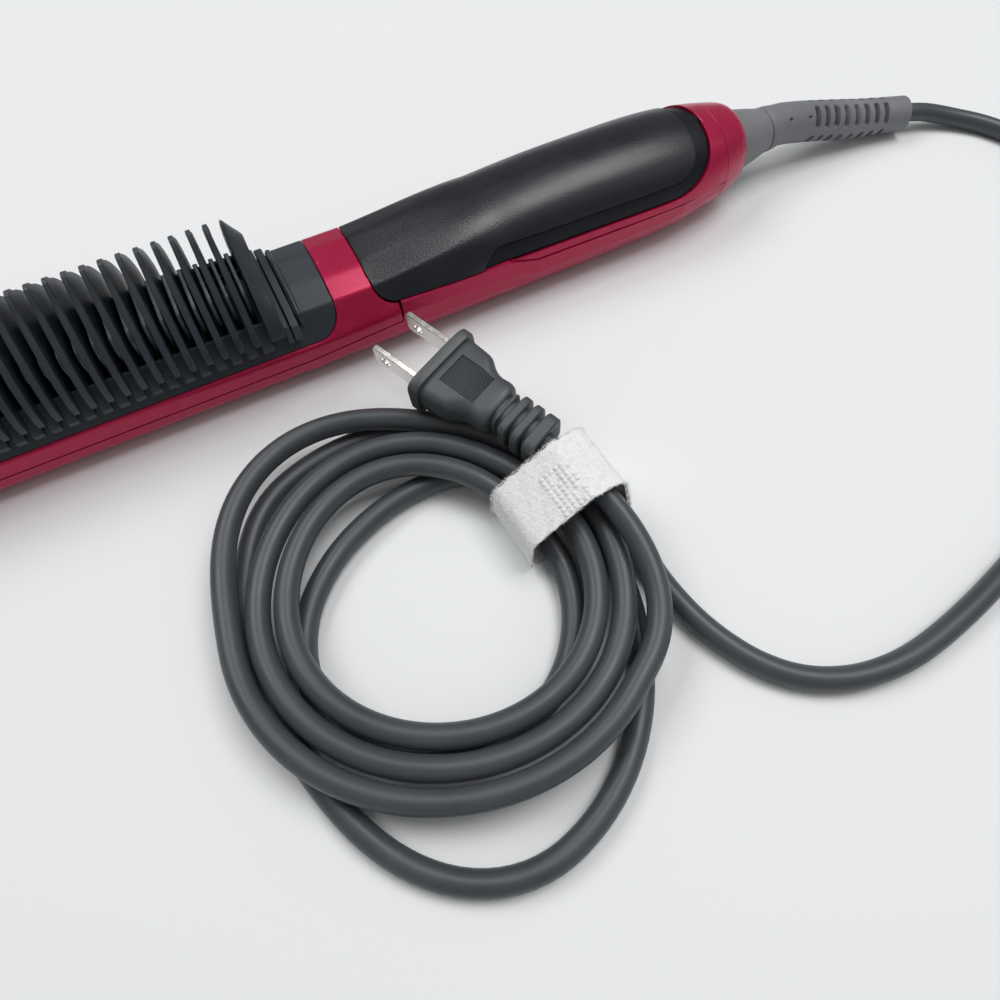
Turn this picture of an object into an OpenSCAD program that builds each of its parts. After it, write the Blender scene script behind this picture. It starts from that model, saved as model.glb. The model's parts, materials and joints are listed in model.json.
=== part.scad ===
// Hair straightening brush: a comb of cool teeth and heated blades on a long
// handle, lying on its back with the teeth up. X runs from the nose to the
// cord end, Z is up and the origin is under the middle of the casing.

/* [Casing] */
// Length of the comb head, from the nose to the neck rib
head_l = 131; // [120:1:150]
// Length of the dark neck between the rib and the collar
neck_l = 10.5; // [9:0.5:14]
// Length of the red collar between the neck and the grip
collar_l = 11; // [9:0.5:16]
// Length of the handle behind the collar
handle_l = 124.5; // [118:0.5:150]
// Width of the casing
body_w = 36; // [34:0.5:44]
// Height of the head and neck at the rib
neck_h = 24.4; // [23.5:0.1:27]
// Greatest height of the handle
grip_h = 31.2; // [29.5:0.1:34]
// Thickness of the tail above and below the cord opening
tail_lip = 2.2; // [2:0.1:2.6]
// Thickness of the tail on each side of the cord opening
tail_side = 1.8; // [1.6:0.1:4]
// Height of the axis on which the cord swivels
axis_z = 14.8; // [14.5:0.1:15.2]
// Wall of the moulded shells
wall = 2; // [1.6:0.1:2.2]
// Height of the seam along the head
head_seam = 9.5; // [9:0.1:10.5]
// Height of the seam along the tail
tail_seam = 15; // [14.5:0.1:16]
// Height of the red rim round the comb
rim_h = 14.8; // [14:0.1:15.5]
// Width of the reveal between two shells
reveal = 0.2; // [0.1:0.05:0.3]

/* [Grip] */
// Height of the lower edge of the grip
grip_edge = 17.5; // [17:0.1:18.5]
// Height of the lower edge of the matt cover, above the trim
cover_edge = 22; // [21.5:0.1:23]
// Length of the trim band over the tail end of the grip
trim_l = 6; // [5:0.5:8]
// Length of the ring that closes the tail
tail_ring_l = 9.7; // [9:0.1:14]
// Depth that the trim lies below the matt cover
trim_step = 0.6; // [0.4:0.1:1]

/* [Comb] */
// Number of cool teeth plates
fin_n = 25; // [20:1:26]
// Distance from one plate to the next
fin_pitch = 4.15; // [4.05:0.05:4.3]
// Thickness of a cool plate
fin_t = 1.7; // [1.5:0.1:1.8]
// Height of the tips of the teeth
fin_top = 45.9; // [40:0.1:47]
// Height of the comb floor
floor_h = 19.2; // [18.7:0.1:20]
// Thickness of a heated blade
blade_t = 1.2; // [1:0.1:1.3]
// Height of the heated blades
blade_top = 30.5; // [28:0.1:34]
// Half width of a heated blade
blade_w = 9.4; // [8:0.1:10]
// Gap between a blade and its slot
slot_gap = 0.35; // [0.3:0.05:0.4]

/* [Controls] */
// Length of the control panel
panel_l = 62; // [58:1:66]
// Width of the control panel
panel_w = 18; // [16:0.5:19]
// Depth of the panel face behind the back of the casing
panel_in = 0.8; // [0.6:0.1:1.2]
// Length of a button
button_l = 9; // [8:0.5:10]
// Width of a button
button_w = 7; // [6:0.5:8]
// Distance that a button is pressed
button_travel = 0.5; // [0.3:0.1:0.6]
// Clearance round a button
button_gap = 0.3; // [0.2:0.05:0.4]

/* [Screws] */
// Diameter of the casing screws
screw_d = 2.6; // [2.2:0.2:3]
// Diameter of their heads
screw_head_d = 4.6; // [4.2:0.2:5.2]
// Diameter of the bosses that take them
boss_d = 6.4; // [6:0.2:7.4]

/* [Cord] */
// Diameter of the mains cord
cord_d = 5.8; // [5.4:0.1:6.4]
// Diameter of the swivel bulb where it leaves the tail
bulb_d = 19.6; // [18:0.2:19.8]
// Diameter of the swivel bulb at its small end
bulb_neck_d = 13.4; // [13:0.2:14]
// Length of the bulb outside the tail
bulb_l = 14; // [9:0.5:15]
// Diameter of the strain relief sleeve
sleeve_d = 12.4; // [11:0.2:13]
// Number of loops in the coil
coil_n = 5; // [4:1:6]
// Radius of the outer loop of the coil
coil_r = 53.5; // [53.3:0.1:54]
// Distance between the upper loops of the coil
coil_pitch = 6.5; // [6.5:0.05:6.8]
// Distance that the outer loop stands away from the others at the back
coil_bulge = 7.6; // [5:0.2:8]

/* [Hidden] */

red = [0.66, 0.07, 0.2];
black = [0.1, 0.11, 0.12];
graphite = [0.2, 0.22, 0.24];
grey = [0.4, 0.41, 0.43];
steel = [0.75, 0.76, 0.78];
brass = [0.8, 0.66, 0.35];
green = [0.1, 0.35, 0.2];
white = [0.92, 0.92, 0.9];

// Stations along X
body_l = head_l + neck_l + collar_l + handle_l;
x_nose = -(body_l + bulb_l) / 2;
x_rib = x_nose + head_l;
x_collar = x_rib + neck_l;
x_grip = x_collar + collar_l;
x_tail = x_grip + handle_l;
x_ring = x_tail - tail_ring_l;
x_trim = x_ring - 4.7;
x_joint = x_grip + 5.4;
x_arm = x_grip + 48;
nose_l = 16;
nose_blunt = 0.42;
nose_lift = 2.5;
taper_l = 41;
swell_l = 69;
tail_w = bulb_d + 2 * tail_side;
tail_drop = grip_h - axis_z - bulb_d / 2 - tail_lip;
tail_lift = axis_z - bulb_d / 2 - tail_lip;
tail_round = 3;
tail_edge = 0.9;
low_flat = 0.35;

function mix(a, b, t) = a + (b - a) * t;
function unit(t) = max(0, min(1, t));
function ease(t) = let (u = unit(t)) u * u * (3 - 2 * u);
function rounding(x) = let (d = unit((x - x_tail + tail_round) / tail_round))
    tail_edge * (1 - sqrt(1 - d * d));
function half_w(x) = let (n = unit((x - x_nose) / nose_l), t = unit((x - x_tail + taper_l) / taper_l))
    body_w / 2 * mix(nose_blunt, 1, sqrt(1 - pow(1 - n, 2))) - (body_w - tail_w) / 2 * pow(t, 2.8)
    - rounding(x);
function top_z(x) = let (s = unit((x - x_grip) / swell_l), t = unit((x - x_tail + 48) / 48))
    neck_h + (grip_h - neck_h) * pow(sin(90 * s), 1.3) - tail_drop * pow(t, 2.4) - rounding(x);
function low_z(x) = let (n = unit((x - x_nose) / nose_l), t = unit((x - x_tail + 28) / 28))
    nose_lift * pow(1 - n, 2) + (tail_lift + low_flat) * pow(t, 2.1) - low_flat + rounding(x);
function waist_z(x) = mix(head_seam, tail_seam, unit((x - x_rib) / (x_ring - x_rib)));
function top_e(x) = mix(3.6, 2.5, ease((x - x_rib + 4) / 12)) - 0.4 * ease((x - x_grip) / swell_l);
function low_e(x) = mix(2.6, 2.15, ease((x - x_tail + 60) / 60));

// A point on the casing at x, drawn in by d, at the angle a round its section
function on_casing(x, d, a) = let (c = cos(a), s = sin(a), e = 2 / (s >= 0 ? top_e(x) : low_e(x)),
    w = waist_z(x), h = s >= 0 ? top_z(x) - w - d : w - low_z(x) - d)
    [x, (half_w(x) - d) * sign(c) * pow(abs(c), e), max(d, w + h * sign(s) * pow(abs(s), e))];
// The angle at which the right side of the casing has the height z
function side_angle(x, d, z) = let (w = waist_z(x)) z >= w
    ? min(80, asin(pow(unit((z - w) / (top_z(x) - w - d)), top_e(x) / 2)))
    : -asin(pow(unit((w - z) / (w - low_z(x) - d)), low_e(x) / 2));
function arc(x, d, a0, a1, n) = [for (k = [0:n]) on_casing(x, d, mix(a0, a1, k / n))];
function reversed(v) = [for (k = [len(v) - 1:-1:0]) v[k]];
over_n = 16;
side_n = 3;
// Rings of a wall over the top, under the bottom and up the right side
function over(x, d0, d1, z) = let (a0 = side_angle(x, d0, z), a1 = side_angle(x, d1, z))
    concat(arc(x, d0, a0, 180 - a0, over_n), reversed(arc(x, d1, a1, 180 - a1, over_n)));
function under(x, d0, d1, z) = let (a0 = side_angle(x, d0, z), a1 = side_angle(x, d1, z))
    concat(arc(x, d0, -180 - a0, a0, over_n), reversed(arc(x, d1, -180 - a1, a1, over_n)));
function beside(x, d0, d1, z0, z1) = concat(
    arc(x, d0, side_angle(x, d0, z0), side_angle(x, d0, z1), side_n),
    reversed(arc(x, d1, side_angle(x, d1, z0), side_angle(x, d1, z1), side_n)));
// A solid slice from z0 up to z1, and the whole section below z
function slice(x, d, z0, z1) = let (a0 = side_angle(x, d, z0), a1 = side_angle(x, d, z1))
    concat(arc(x, d, a0, a1, side_n), arc(x, d, 180 - a1, 180 - a0, side_n));
function bowl(x, d, z) = let (a = side_angle(x, d, z)) arc(x, d, -180 - a, a, over_n);

// Solid swept through closed rings of equal count
module skin(rings) {
    n = len(rings[0]);
    m = len(rings);
    cap = concat([for (k = [0:floor(n / 2) - 2]) [k, k + 1, n - 2 - k, n - 1 - k]],
        n % 2 == 1 ? [[(n - 3) / 2, (n - 1) / 2, (n + 1) / 2]] : []);
    faces = concat(
        cap,
        [for (f = cap) [for (k = reversed(f)) (m - 1) * n + k]],
        [for (j = [0:m - 2], k = [0:n - 1]) [j * n + k, (j + 1) * n + k, (j + 1) * n + (k + 1) % n]],
        [for (j = [0:m - 2], k = [0:n - 1]) [j * n + k, (j + 1) * n + (k + 1) % n, j * n + (k + 1) % n]]);
    polyhedron([for (r = rings, p = r) p], faces);
}
module both_sides() {
    children();
    mirror([0, 1, 0]) children();
}
module slab(x0, x1, y, z0, z1) { translate([x0, -y, z0]) cube([x1 - x0, 2 * y, z1 - z0]); }
module post(x, y, z0, z1, d) { translate([x, y, z0]) cylinder(h = z1 - z0, d = d, $fn = 32); }
module along_x(x0, x1, d, z = axis_z, y = 0) {
    translate([x0, y, z]) rotate([0, 90, 0]) cylinder(h = x1 - x0, d = d, $fn = 48);
}

// Stations of the nose, and of the rest of the casing between two places
nose_x = [for (k = [0:5]) x_nose + nose_l * (1 - cos(18 * k))];
body_x = concat(nose_x, [x_rib, x_rib + 8, x_grip], [for (k = [1:7]) mix(x_grip, x_ring, k / 7)],
    [x_tail - 6.5, x_tail - tail_round, x_tail - 1.5, x_tail - 0.4, x_tail]);
function between(x0, x1, more = []) = let (v = concat([x0, x1], [for (x = concat(body_x, more))
    if (x > x0 + 0.2 && x < x1 - 0.2) x])) sorted(v);
function sorted(v) = len(v) < 2 ? v : let (m = v[floor(len(v) / 2)])
    concat(sorted([for (x = v) if (x < m) x]), [m], sorted([for (x = v) if (x > m) x]));

// Lines on the side of the casing: the seam, and the lower edges of the covers
corner_r = 6;
trim_r = 16;
core_r = 9;
core_ramp = 7;
x_core = x_grip + 31;
x_core_end = x_trim - trim_l;
seam_line = [[x_nose, head_seam], [x_rib, head_seam], [x_joint, head_seam + 2], [x_joint + 0.5, grip_edge],
    [x_arm - 9, grip_edge], [x_arm, tail_seam], [x_tail, tail_seam]];
function corner(r, far) = far >= r ? 0 : r - sqrt(max(0, r * r - pow(r - far, 2)));
function seam_z(x) = lookup(x, seam_line);
function rim_z(x) = rim_h + corner(7, max(0, x_collar - x));
function grip_z(x) = grip_edge + corner(corner_r, max(0, x - x_grip)) + corner(trim_r, max(0, x_trim - x));
function core_z(x) = x < x_core ? grip_z(x) : x < x_core + core_ramp ? mix(grip_z(x), cover_edge, sin(90 * (x - x_core) / core_ramp))
    : cover_edge + corner(core_r, max(0, x_core_end - x));
function corner_x(x, r) = [for (k = [1:5]) x + r * (1 - cos(18 * k))];
grip_more = concat([for (d = corner_x(0, corner_r)) x_grip + d], [for (d = corner_x(0, trim_r)) x_trim - d],
    [for (d = corner_x(0, core_r)) x_core_end - d], [for (k = [0:4]) x_core + core_ramp * (1 - cos(22.5 * k))]);

// A place in the handle, as a share of the way from the collar to the tail ring
function in_grip(share) = mix(x_grip, x_ring, share);

// Screws hold the back shell to towers under the covers
screw_x = [x_nose + 8.5, x_rib + 5.5, in_grip(0.113), in_grip(0.861)];
screw_seat = 3;
tower_top = [floor_h - 1, neck_h - 1, top_z(screw_x[2]) - 1, top_z(screw_x[3]) - 1];
tower_foot = 9.3;
module tower(k) {
    difference() {
        post(screw_x[k], 0, tower_foot, tower_top[k], boss_d - 0.4);
        post(screw_x[k], 0, tower_foot - 1, tower_foot + 7, screw_d + 0.1);
    }
}

post_x = [in_grip(0.192), in_grip(0.797)];
post_y = 7.5;
board_z = 8.2;
board_t = 1.6;
board_w = 22;
board_x = [in_grip(0.166), in_grip(0.823)];
panel_x = in_grip(0.228);
panel_t = 2;
housing_d = 22;
bulb_gap = 0.3;

module back_shell() {
    color(red) difference() {
        union() {
            skin([for (x = between(x_nose, x_ring - reveal, [x_joint + 0.25, x_joint + 0.75, x_arm - 9, x_arm]))
                under(x, 0, wall, seam_z(x - 0.25) - reveal)]);
            skin([for (x = [x_nose, x_nose + wall]) bowl(x, 0, head_seam - reveal)]);
            for (x = screw_x) post(x, 0, 0.5, tower_foot - reveal, boss_d);
            for (x = post_x, s = [-1, 1]) post(x, s * post_y, 1, board_z, 5);
        }
        for (x = screw_x) {
            post(x, 0, -1, screw_seat, screw_head_d + 0.4);
            post(x, 0, 0, tower_foot + 1, screw_d + 0.4);
        }
        for (x = post_x, s = [-1, 1]) post(x, s * post_y, 3.5, board_z + 1, 1.8);
        slab(panel_x - reveal, panel_x + panel_l + reveal, panel_w / 2 + reveal, -1, 5);
    }
}

module head_frame() {
    color(red) union() {
        both_sides() skin([for (x = between(x_nose, x_collar, [x_collar - 6, x_collar - 4, x_collar - 2, x_collar - 0.7]))
            beside(x, 0, wall, seam_z(x), rim_z(x) - reveal)]);
        skin([for (x = [x_nose, x_nose + wall]) slice(x, 0, head_seam, rim_h - reveal)]);
        skin([for (x = [x_collar, x_grip - reveal]) over(x, 0, wall, seam_z(x))]);
        both_sides() skin([for (x = between(x_grip, x_joint + reveal, grip_more))
            beside(x - reveal, 0, wall, seam_z(x - reveal), grip_z(x) - reveal)]);
    }
}

module tail_frame() {
    color(red) union() {
        both_sides() skin([for (x = between(x_arm - 8, x_trim, grip_more))
            beside(x + reveal, 0, wall, seam_z(x + reveal), grip_z(x) - reveal)]);
        skin([for (x = [x_trim + reveal, x_ring - reveal]) over(x, 0, wall, tail_seam)]);
    }
}

module tail_ring() {
    color(red) difference() {
        skin([for (x = between(x_ring, x_tail)) arc(x, 0, 0, 345, 23)]);
        skin([for (x = between(x_ring - 1, x_tail - 2.2)) arc(x, wall, 0, 345, 23)]);
        along_x(x_ring - 1, x_tail + 1, bulb_d + 2 * bulb_gap);
    }
}

rib_t = 1.4;
module neck_cover() {
    color(graphite) union() {
        skin([for (x = between(x_rib, x_collar - reveal, [x_collar - 6, x_collar - 4, x_collar - 2, x_collar - 0.7]))
            over(x, 0, wall, rim_z(x + reveal))]);
        skin([for (x = [x_rib, x_rib + rib_t]) over(x, -0.6, wall + 2, floor_h + 0.5)]);
        tower(1);
    }
}

module grip_cover() {
    color(black) union() {
        skin([for (x = between(x_grip, x_core_end, grip_more)) over(x, 0, wall, core_z(x))]);
        tower(2);
        tower(3);
    }
}

module grip_trim() {
    color(black) union() {
        both_sides() skin([for (x = between(x_core + 1, x_core_end, grip_more))
            beside(x + reveal, trim_step, wall, grip_z(x + reveal), core_z(x) - reveal)]);
        skin([for (x = between(x_core_end + reveal, x_trim, grip_more)) over(x, trim_step, wall, grip_z(x))]);
    }
}

// Half outline of a cool plate, from its tip down to the floor
module fin_outline() {
    tip = [[1.6, 0], [3, -1.4], [4, -3], [6.5, -5.1], [11.5, -10.6], [15.8, -16.6], [18, -21.6]];
    polygon(concat(
        [for (p = tip) [p[0], fin_top + p[1]]], [[17.6, floor_h - 1], [-17.6, floor_h - 1]],
        [for (k = [len(tip) - 1:-1:0]) [-tip[k][0], fin_top + tip[k][1]]]));
}
module plate_at(x, t) { translate([x - t / 2, 0, 0]) rotate([90, 0, 90]) linear_extrude(t) children(); }
x_fin = x_rib - 12;
function fin_x(k) = x_fin - k * fin_pitch;
guard_x = x_rib - 6.5;
guard_t = 4;
far_guard_x = fin_x(fin_n - 1) - 5.4;

deck_z = floor_h - 2.2;
module comb_guard(x) {
    plate_at(x, guard_t) intersection() {
        fin_outline();
        translate([-30, 0]) square([60, fin_top - 0.6]);
    }
}

module comb_frame() {
    color(graphite) union() {
        difference() {
            union() {
                skin([for (x = between(x_nose, x_rib - reveal)) slice(x, 0, deck_z, floor_h)]);
                skin([for (x = [x_nose, x_nose + wall]) slice(x, 0, rim_h, deck_z)]);
                both_sides() skin([for (x = between(x_nose, x_rib - reveal)) beside(x, 0, wall, rim_h, deck_z)]);
            }
            for (k = [0:fin_n - 1]) {
                slab(fin_x(k) + (fin_pitch - blade_t) / 2 - slot_gap, fin_x(k) + (fin_pitch + blade_t) / 2 + slot_gap,
                    blade_w + slot_gap, floor_h - 5, floor_h + 1);
            }
        }
        for (k = [0:fin_n - 1]) plate_at(fin_x(k), fin_t) fin_outline();
        comb_guard(guard_x);
        comb_guard(far_guard_x);
        tower(0);
    }
}

heat_x = [far_guard_x + 1, guard_x + 3.5];
heat_z = 13.4;
heat_t = 2.8;
module heat_plate() {
    color([0.35, 0.36, 0.4]) {
        slab(heat_x[0], heat_x[1], 12.5, heat_z, heat_z + heat_t);
        for (k = [0:fin_n - 1]) {
            translate([fin_x(k) + fin_pitch / 2 - blade_t / 2, 0, 0]) rotate([90, 0, 90])
                linear_extrude(blade_t) polygon([[-blade_w, heat_z + 1], [-blade_w, blade_top - 2.4],
                    [-blade_w + 2, blade_top], [blade_w - 2, blade_top], [blade_w, blade_top - 2.4],
                    [blade_w, heat_z + 1]]);
        }
    }
}

heater_l = 44;
heater_t = 2;
heater_x = [heat_x[0] + 6, heat_x[1] - 6 - heater_l];
module heater_element() {
    color(white) for (x = heater_x) slab(x, x + heater_l, 8, heat_z - heater_t, heat_z);
}
mica_t = 0.5;
module mica_sheet() {
    color(brass) slab(heat_x[0] + 2, heat_x[1] - 2, 10, heat_z - heater_t - mica_t, heat_z - heater_t);
}
clamp_t = 1;
clamp_z = heat_z - heater_t - mica_t - clamp_t;
module heater_clamp() {
    color(steel) difference() {
        union() {
            slab(heat_x[0] + 4, heat_x[1] - 4, 7, clamp_z, clamp_z + clamp_t);
            for (x = [heat_x[0] + 12, heat_x[1] - 14]) slab(x, x + 2, 5, wall + 0.1, clamp_z + clamp_t);
        }
        for (x = [heat_x[0] + 30, heat_x[1] - 30]) post(x, 0, clamp_z - 1, clamp_z + 2, 4);
    }
}
fuse_x = heat_x[1] - 40;
module thermal_fuse() {
    color(steel) {
        along_x(fuse_x, fuse_x + 11, 4, clamp_z - 2.1, 0);
        along_x(fuse_x - 6, fuse_x + 17, 0.9, clamp_z - 2.1, 0);
    }
}

// Tube swept along points, with n sides and a radius for each point
function unit_v(v) = v / norm(v);
function heading(p, k) = unit_v(p[min(k + 1, len(p) - 1)] - p[max(k - 1, 0)]);
function tube_ring(at, t, r, n) = let (u = unit_v(cross([0, 0, 1], t)), v = cross(t, u))
    [for (j = [0:n - 1]) at + r * (v * cos(360 * j / n) - u * sin(360 * j / n))];
module tube(p, radii, n, from = undef, to = undef) {
    skin([for (k = [0:len(p) - 1]) tube_ring(p[k], k == 0 && !is_undef(from) ? from
        : k == len(p) - 1 && !is_undef(to) ? to : heading(p, k), radii[k], n)]);
}
wire_d = 1.7;
wire_z = board_z + board_t + wire_d / 2 + 0.1;
module wire(p) { tube(p, [for (q = p) wire_d / 2], 8); }
module heater_leads() {
    color(white) for (s = [-1, 1])
        wire([[heat_x[1] - 8, s * 5.5, clamp_z - 1.1], [x_rib + 1, s * 6, clamp_z - 1.1],
            [x_grip + 8, s * 6, wire_z], [x_grip + 17, s * 6, wire_z], [board_x[0] + 3, s * 3.5, wire_z],
            [board_x[0] + 8, s * 3.5, wire_z]]);
}

window_x = panel_x + 4;
window_l = 18;
window_w = 10;
plus_x = panel_x + 30;
minus_x = panel_x + 41;
power_x = panel_x + 53;
module control_panel() {
    color(black) difference() {
        slab(panel_x, panel_x + panel_l, panel_w / 2, panel_in, panel_in + panel_t);
        slab(window_x, window_x + window_l, window_w / 2, 0, 5);
        for (x = [plus_x, minus_x, power_x])
            slab(x - button_l / 2 - button_gap, x + button_l / 2 + button_gap, button_w / 2 + button_gap, 0, 5);
    }
}
module display_window() {
    color([0.05, 0.05, 0.07]) slab(window_x + 0.1, window_x + window_l - 0.1, window_w / 2 - 0.1,
        panel_in + 0.1, panel_in + 1.6);
}
module display_module() {
    color(white) slab(window_x + 0.5, window_x + window_l - 0.5, window_w / 2 - 0.5, panel_in + 1.7, board_z);
}

// Cap, flange behind the panel, and the stem that reaches the switch
flange_z = panel_in + panel_t + 0.1;
stem_d = 3;
stem_in = 0.3;
button_proud = 0.4;
switch_z = board_z - 3.4;
module button(x) {
    slab(x - button_l / 2, x + button_l / 2, button_w / 2, panel_in - button_proud, flange_z + 0.4);
    slab(x - button_l / 2 - 0.8, x + button_l / 2 + 0.8, button_w / 2 + 0.9, flange_z, flange_z + 0.8);
    post(x, 0, flange_z, switch_z + stem_in, stem_d);
}
module power_button() { color(grey) button(power_x); }
module plus_button() { color(grey) button(plus_x); }
module minus_button() { color(grey) button(minus_x); }
module tact_switches() {
    color(black) for (x = [plus_x, minus_x, power_x]) difference() {
        slab(x - 3, x + 3, 3, switch_z, board_z);
        post(x, 0, switch_z - 1, switch_z + stem_in + button_travel + 0.8, stem_d + 0.6);
    }
}

module control_board() {
    color(green) difference() {
        slab(board_x[0], board_x[1], board_w / 2, board_z, board_z + board_t);
        for (x = post_x, s = [-1, 1]) post(x, s * post_y, board_z - 1, board_z + 4, 2.4);
    }
}
board_top = board_z + board_t;
triac_x = in_grip(0.68);
triac_t = 4.5;
capacitor_x = in_grip(0.54);
capacitor_l = 8;
module triac() {
    color(black) {
        slab(triac_x, triac_x + triac_t, 5, board_top, board_top + 9);
        color(steel) slab(triac_x + triac_t, triac_x + triac_t + 1.3, 5, board_top, board_top + 15);
    }
}
module filter_capacitor() { color([0.75, 0.6, 0.1]) slab(capacitor_x, capacitor_x + capacitor_l, 7, board_top, board_top + 12); }
module board_screws() {
    color(steel) for (x = post_x, s = [-1, 1]) {
        post(x, s * post_y, 4, board_top + 0.1, 1.7);
        post(x, s * post_y, board_top, board_top + 1.4, 3.8);
    }
}
module casing_screws() {
    color(steel) for (x = screw_x) difference() {
        union() {
            post(x, 0, screw_seat - 1.8, screw_seat, screw_head_d);
            post(x, 0, screw_seat - 0.1, tower_foot + 6, screw_d);
        }
        for (a = [0, 90]) translate([x, 0, screw_seat - 1.9]) rotate([0, 0, a])
            cube([2.6, 0.6, 1.6], center = true);
    }
}

// Swivel: a flanged stem turns in a two-part cradle inside the tail
pivot_x = x_ring - 3.5;
stem_neck_d = 12;
flange_d = 17;
turn_gap = 0.3;
module housing_bore() {
    along_x(pivot_x - 6, pivot_x + 20, stem_neck_d + 2 * turn_gap);
    along_x(pivot_x - turn_gap, pivot_x + 2.8 + turn_gap, flange_d + 2 * turn_gap);
}
module housing() {
    difference() {
        along_x(pivot_x - 2.8, pivot_x + 6.8, housing_d);
        housing_bore();
        for (s = [-1, 1]) post(pivot_x + 4.5, s * 9, 0, 40, 1.8);
    }
}
module swivel_cradle() {
    color(graphite) difference() {
        union() {
            housing();
            slab(pivot_x - 2.8, pivot_x + 1, 5, wall + 1.6, axis_z - 8);
        }
        housing_bore();
        slab(pivot_x - 5, pivot_x + 10, 20, axis_z, 40);
    }
}
module swivel_cap() {
    color(graphite) difference() {
        housing();
        slab(pivot_x - 5, pivot_x + 10, 20, -10, axis_z + 0.05);
        for (s = [-1, 1]) post(pivot_x + 4.5, s * 9, axis_z + 3, 40, 3.6);
    }
}
module cradle_screws() {
    color(steel) for (s = [-1, 1]) {
        post(pivot_x + 4.5, s * 9, axis_z - 3, axis_z + 3.1, 1.7);
        post(pivot_x + 4.5, s * 9, axis_z + 3, axis_z + 4.4, 3.3);
    }
}
bulb_x = x_tail - 2;
module swivel_bulb() {
    color(grey) translate([0, 0, axis_z]) rotate([0, 90, 0]) rotate_extrude($fn = 64) polygon([
        [2.6, pivot_x - 5], [4.4, pivot_x - 5], [5, pivot_x - 3], [5, pivot_x],
        [flange_d / 2, pivot_x], [flange_d / 2, pivot_x + 2.8], [stem_neck_d / 2, pivot_x + 2.8],
        [stem_neck_d / 2, pivot_x + 7.2], [bulb_d / 2 - 1, pivot_x + 7.2], [bulb_d / 2, pivot_x + 8.2],
        [bulb_d / 2, x_tail - 0.5], [bulb_d / 2 - 0.5, x_tail + 1.5],
        [bulb_neck_d / 2 + 1.2, x_tail + bulb_l - 4.5], [bulb_neck_d / 2, x_tail + bulb_l],
        [2.6, x_tail + bulb_l]]);
}
module mains_leads() {
    color(white) for (s = [-1, 1])
        wire([[board_x[1] - 8, s * 3.5, wire_z], [board_x[1] - 3, s * 3.6, wire_z],
            [screw_x[3] - 2, s * 5, 12], [screw_x[3] + 3.5, s * 4, axis_z - 0.5],
            [pivot_x - 5.2, s * 1.05, axis_z], [x_tail + bulb_l + 0.1, s * 1.05, axis_z]]);
}

// Points of a smooth curve through a route
function through(p, k, t) = let (a = p[max(k - 1, 0)], b = p[k], c = p[k + 1],
    d = p[min(k + 2, len(p) - 1)]) 0.5 * (2 * b + (c - a) * t + (2 * a - 5 * b + 4 * c - d) * t * t
    + (3 * b - a - 3 * c + d) * t * t * t);
function smooth(p, m) = concat([for (k = [0:len(p) - 2], i = [0:m - 1]) through(p, k, i / m)],
    [p[len(p) - 1]]);

// Strain relief, from the bulb down to the table
relief_x = x_tail + bulb_l;
relief_route = [[relief_x + 0.3, 0, axis_z], [relief_x + 6, 0, axis_z], [158, 0, 13.6], [170, -0.5, 10.8],
    [182, -2, 8.4], [193, -3.5, 6.8], [204, -6, 6.1]];
relief_dir = unit_v([11, -2.5, -0.6]);
relief_end_r = 5.5;
slot_x = 164.3;
slot_pitch = 4.3;
slot_w = 1.9;
slot_n = 8;
function relief_r(x) = x < relief_x + 3 ? bulb_neck_d / 2
    : mix(sleeve_d / 2, relief_end_r, unit((x - 180) / 24));
module strain_relief() {
    p = smooth(relief_route, 4);
    color(grey) difference() {
        tube(p, [for (q = p) relief_r(q[0])], 20, to = relief_dir);
        for (k = [0:slot_n - 1]) {
            x = slot_x + k * slot_pitch;
            q = [for (c = p) if (c[0] >= x) c][0];
            for (a = [45, 135, 225, 315]) translate(q) rotate([0, 10, -8]) rotate([a, 0, 0])
                translate([0, 0, relief_r(x) + 0.4]) cube([slot_w, 7, 2.4], center = true);
        }
    }
}

// Mains cord: out of the relief, round in one bow on the table and into the coil
rest_z = cord_d / 2 + 0.1;
cord_route = [[204, -6, 6.1], [208, -6.9, 5.9], [214, -8.7, 5], [222, -13.3, 3.6], [230, -21, rest_z],
    [236, -32.7, rest_z], [238, -46.5, rest_z], [236, -60.5, rest_z], [230, -74.5, rest_z],
    [221, -87.5, rest_z], [210, -99.5, rest_z], [197, -110.5, rest_z], [183, -120.5, rest_z],
    [167, -129.5, rest_z], [150, -137.5, rest_z], [132, -144.5, rest_z], [114, -149.5, rest_z],
    [96, -153.5, rest_z], [80, -155.5, rest_z], [68, -154.5, rest_z], [59, -151.5, rest_z],
    [52, -147, rest_z], [46.5, -141, rest_z], [42.5, -134, rest_z], [39.7, -126.5, rest_z],
    [38.1, -119, rest_z], [37.4, -112, rest_z]];

// Coil, by the angle turned since its start: two loops wind in on the table, the
// first with a slack bow at the front, and the rest wind out again on top of them.
coil_c = [-12.6, -89.2];
coil_from = -12;
coil_m = 24;
coil_end = 360 * coil_n - 45;
layer_gap = 0.5;
strap_t = 0.6;
tie_at = 5;
bows = [[58.1, 167.2, -12.2], [174.4, 44.8, -5.8], [224.7, 58.6, -12.9], [267.1, 92.1, 19.1],
    [474.8, 139.1, -16.8], [638.5, 129.3, 7]];
function bow(at, half, h, w) = let (u = abs(w - at) / half) u < 1 ? h * pow(cos(90 * u), 2) : 0;
function sum(v, k = 0) = k < len(v) ? v[k] + sum(v, k + 1) : 0;
function lower_loops(w) = coil_r + 6.7 - 15.1 * w / 360 + sum([for (b = bows) bow(b[0], b[1], b[2], w)]);
function upper_loops(w) = let (a = w + coil_from) coil_r - 23 + coil_pitch * (w / 360 - 2)
    + 2.72 * cos(a + 93.2) + 1.32 * cos(2 * (a + 62.6)) + 0.7 * cos(3 * (a + 40.3))
    + bow(360 * coil_n - 230, 58, coil_bulge, w);
function turn_of(a) = a - 360 * floor(a / 360);
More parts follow.
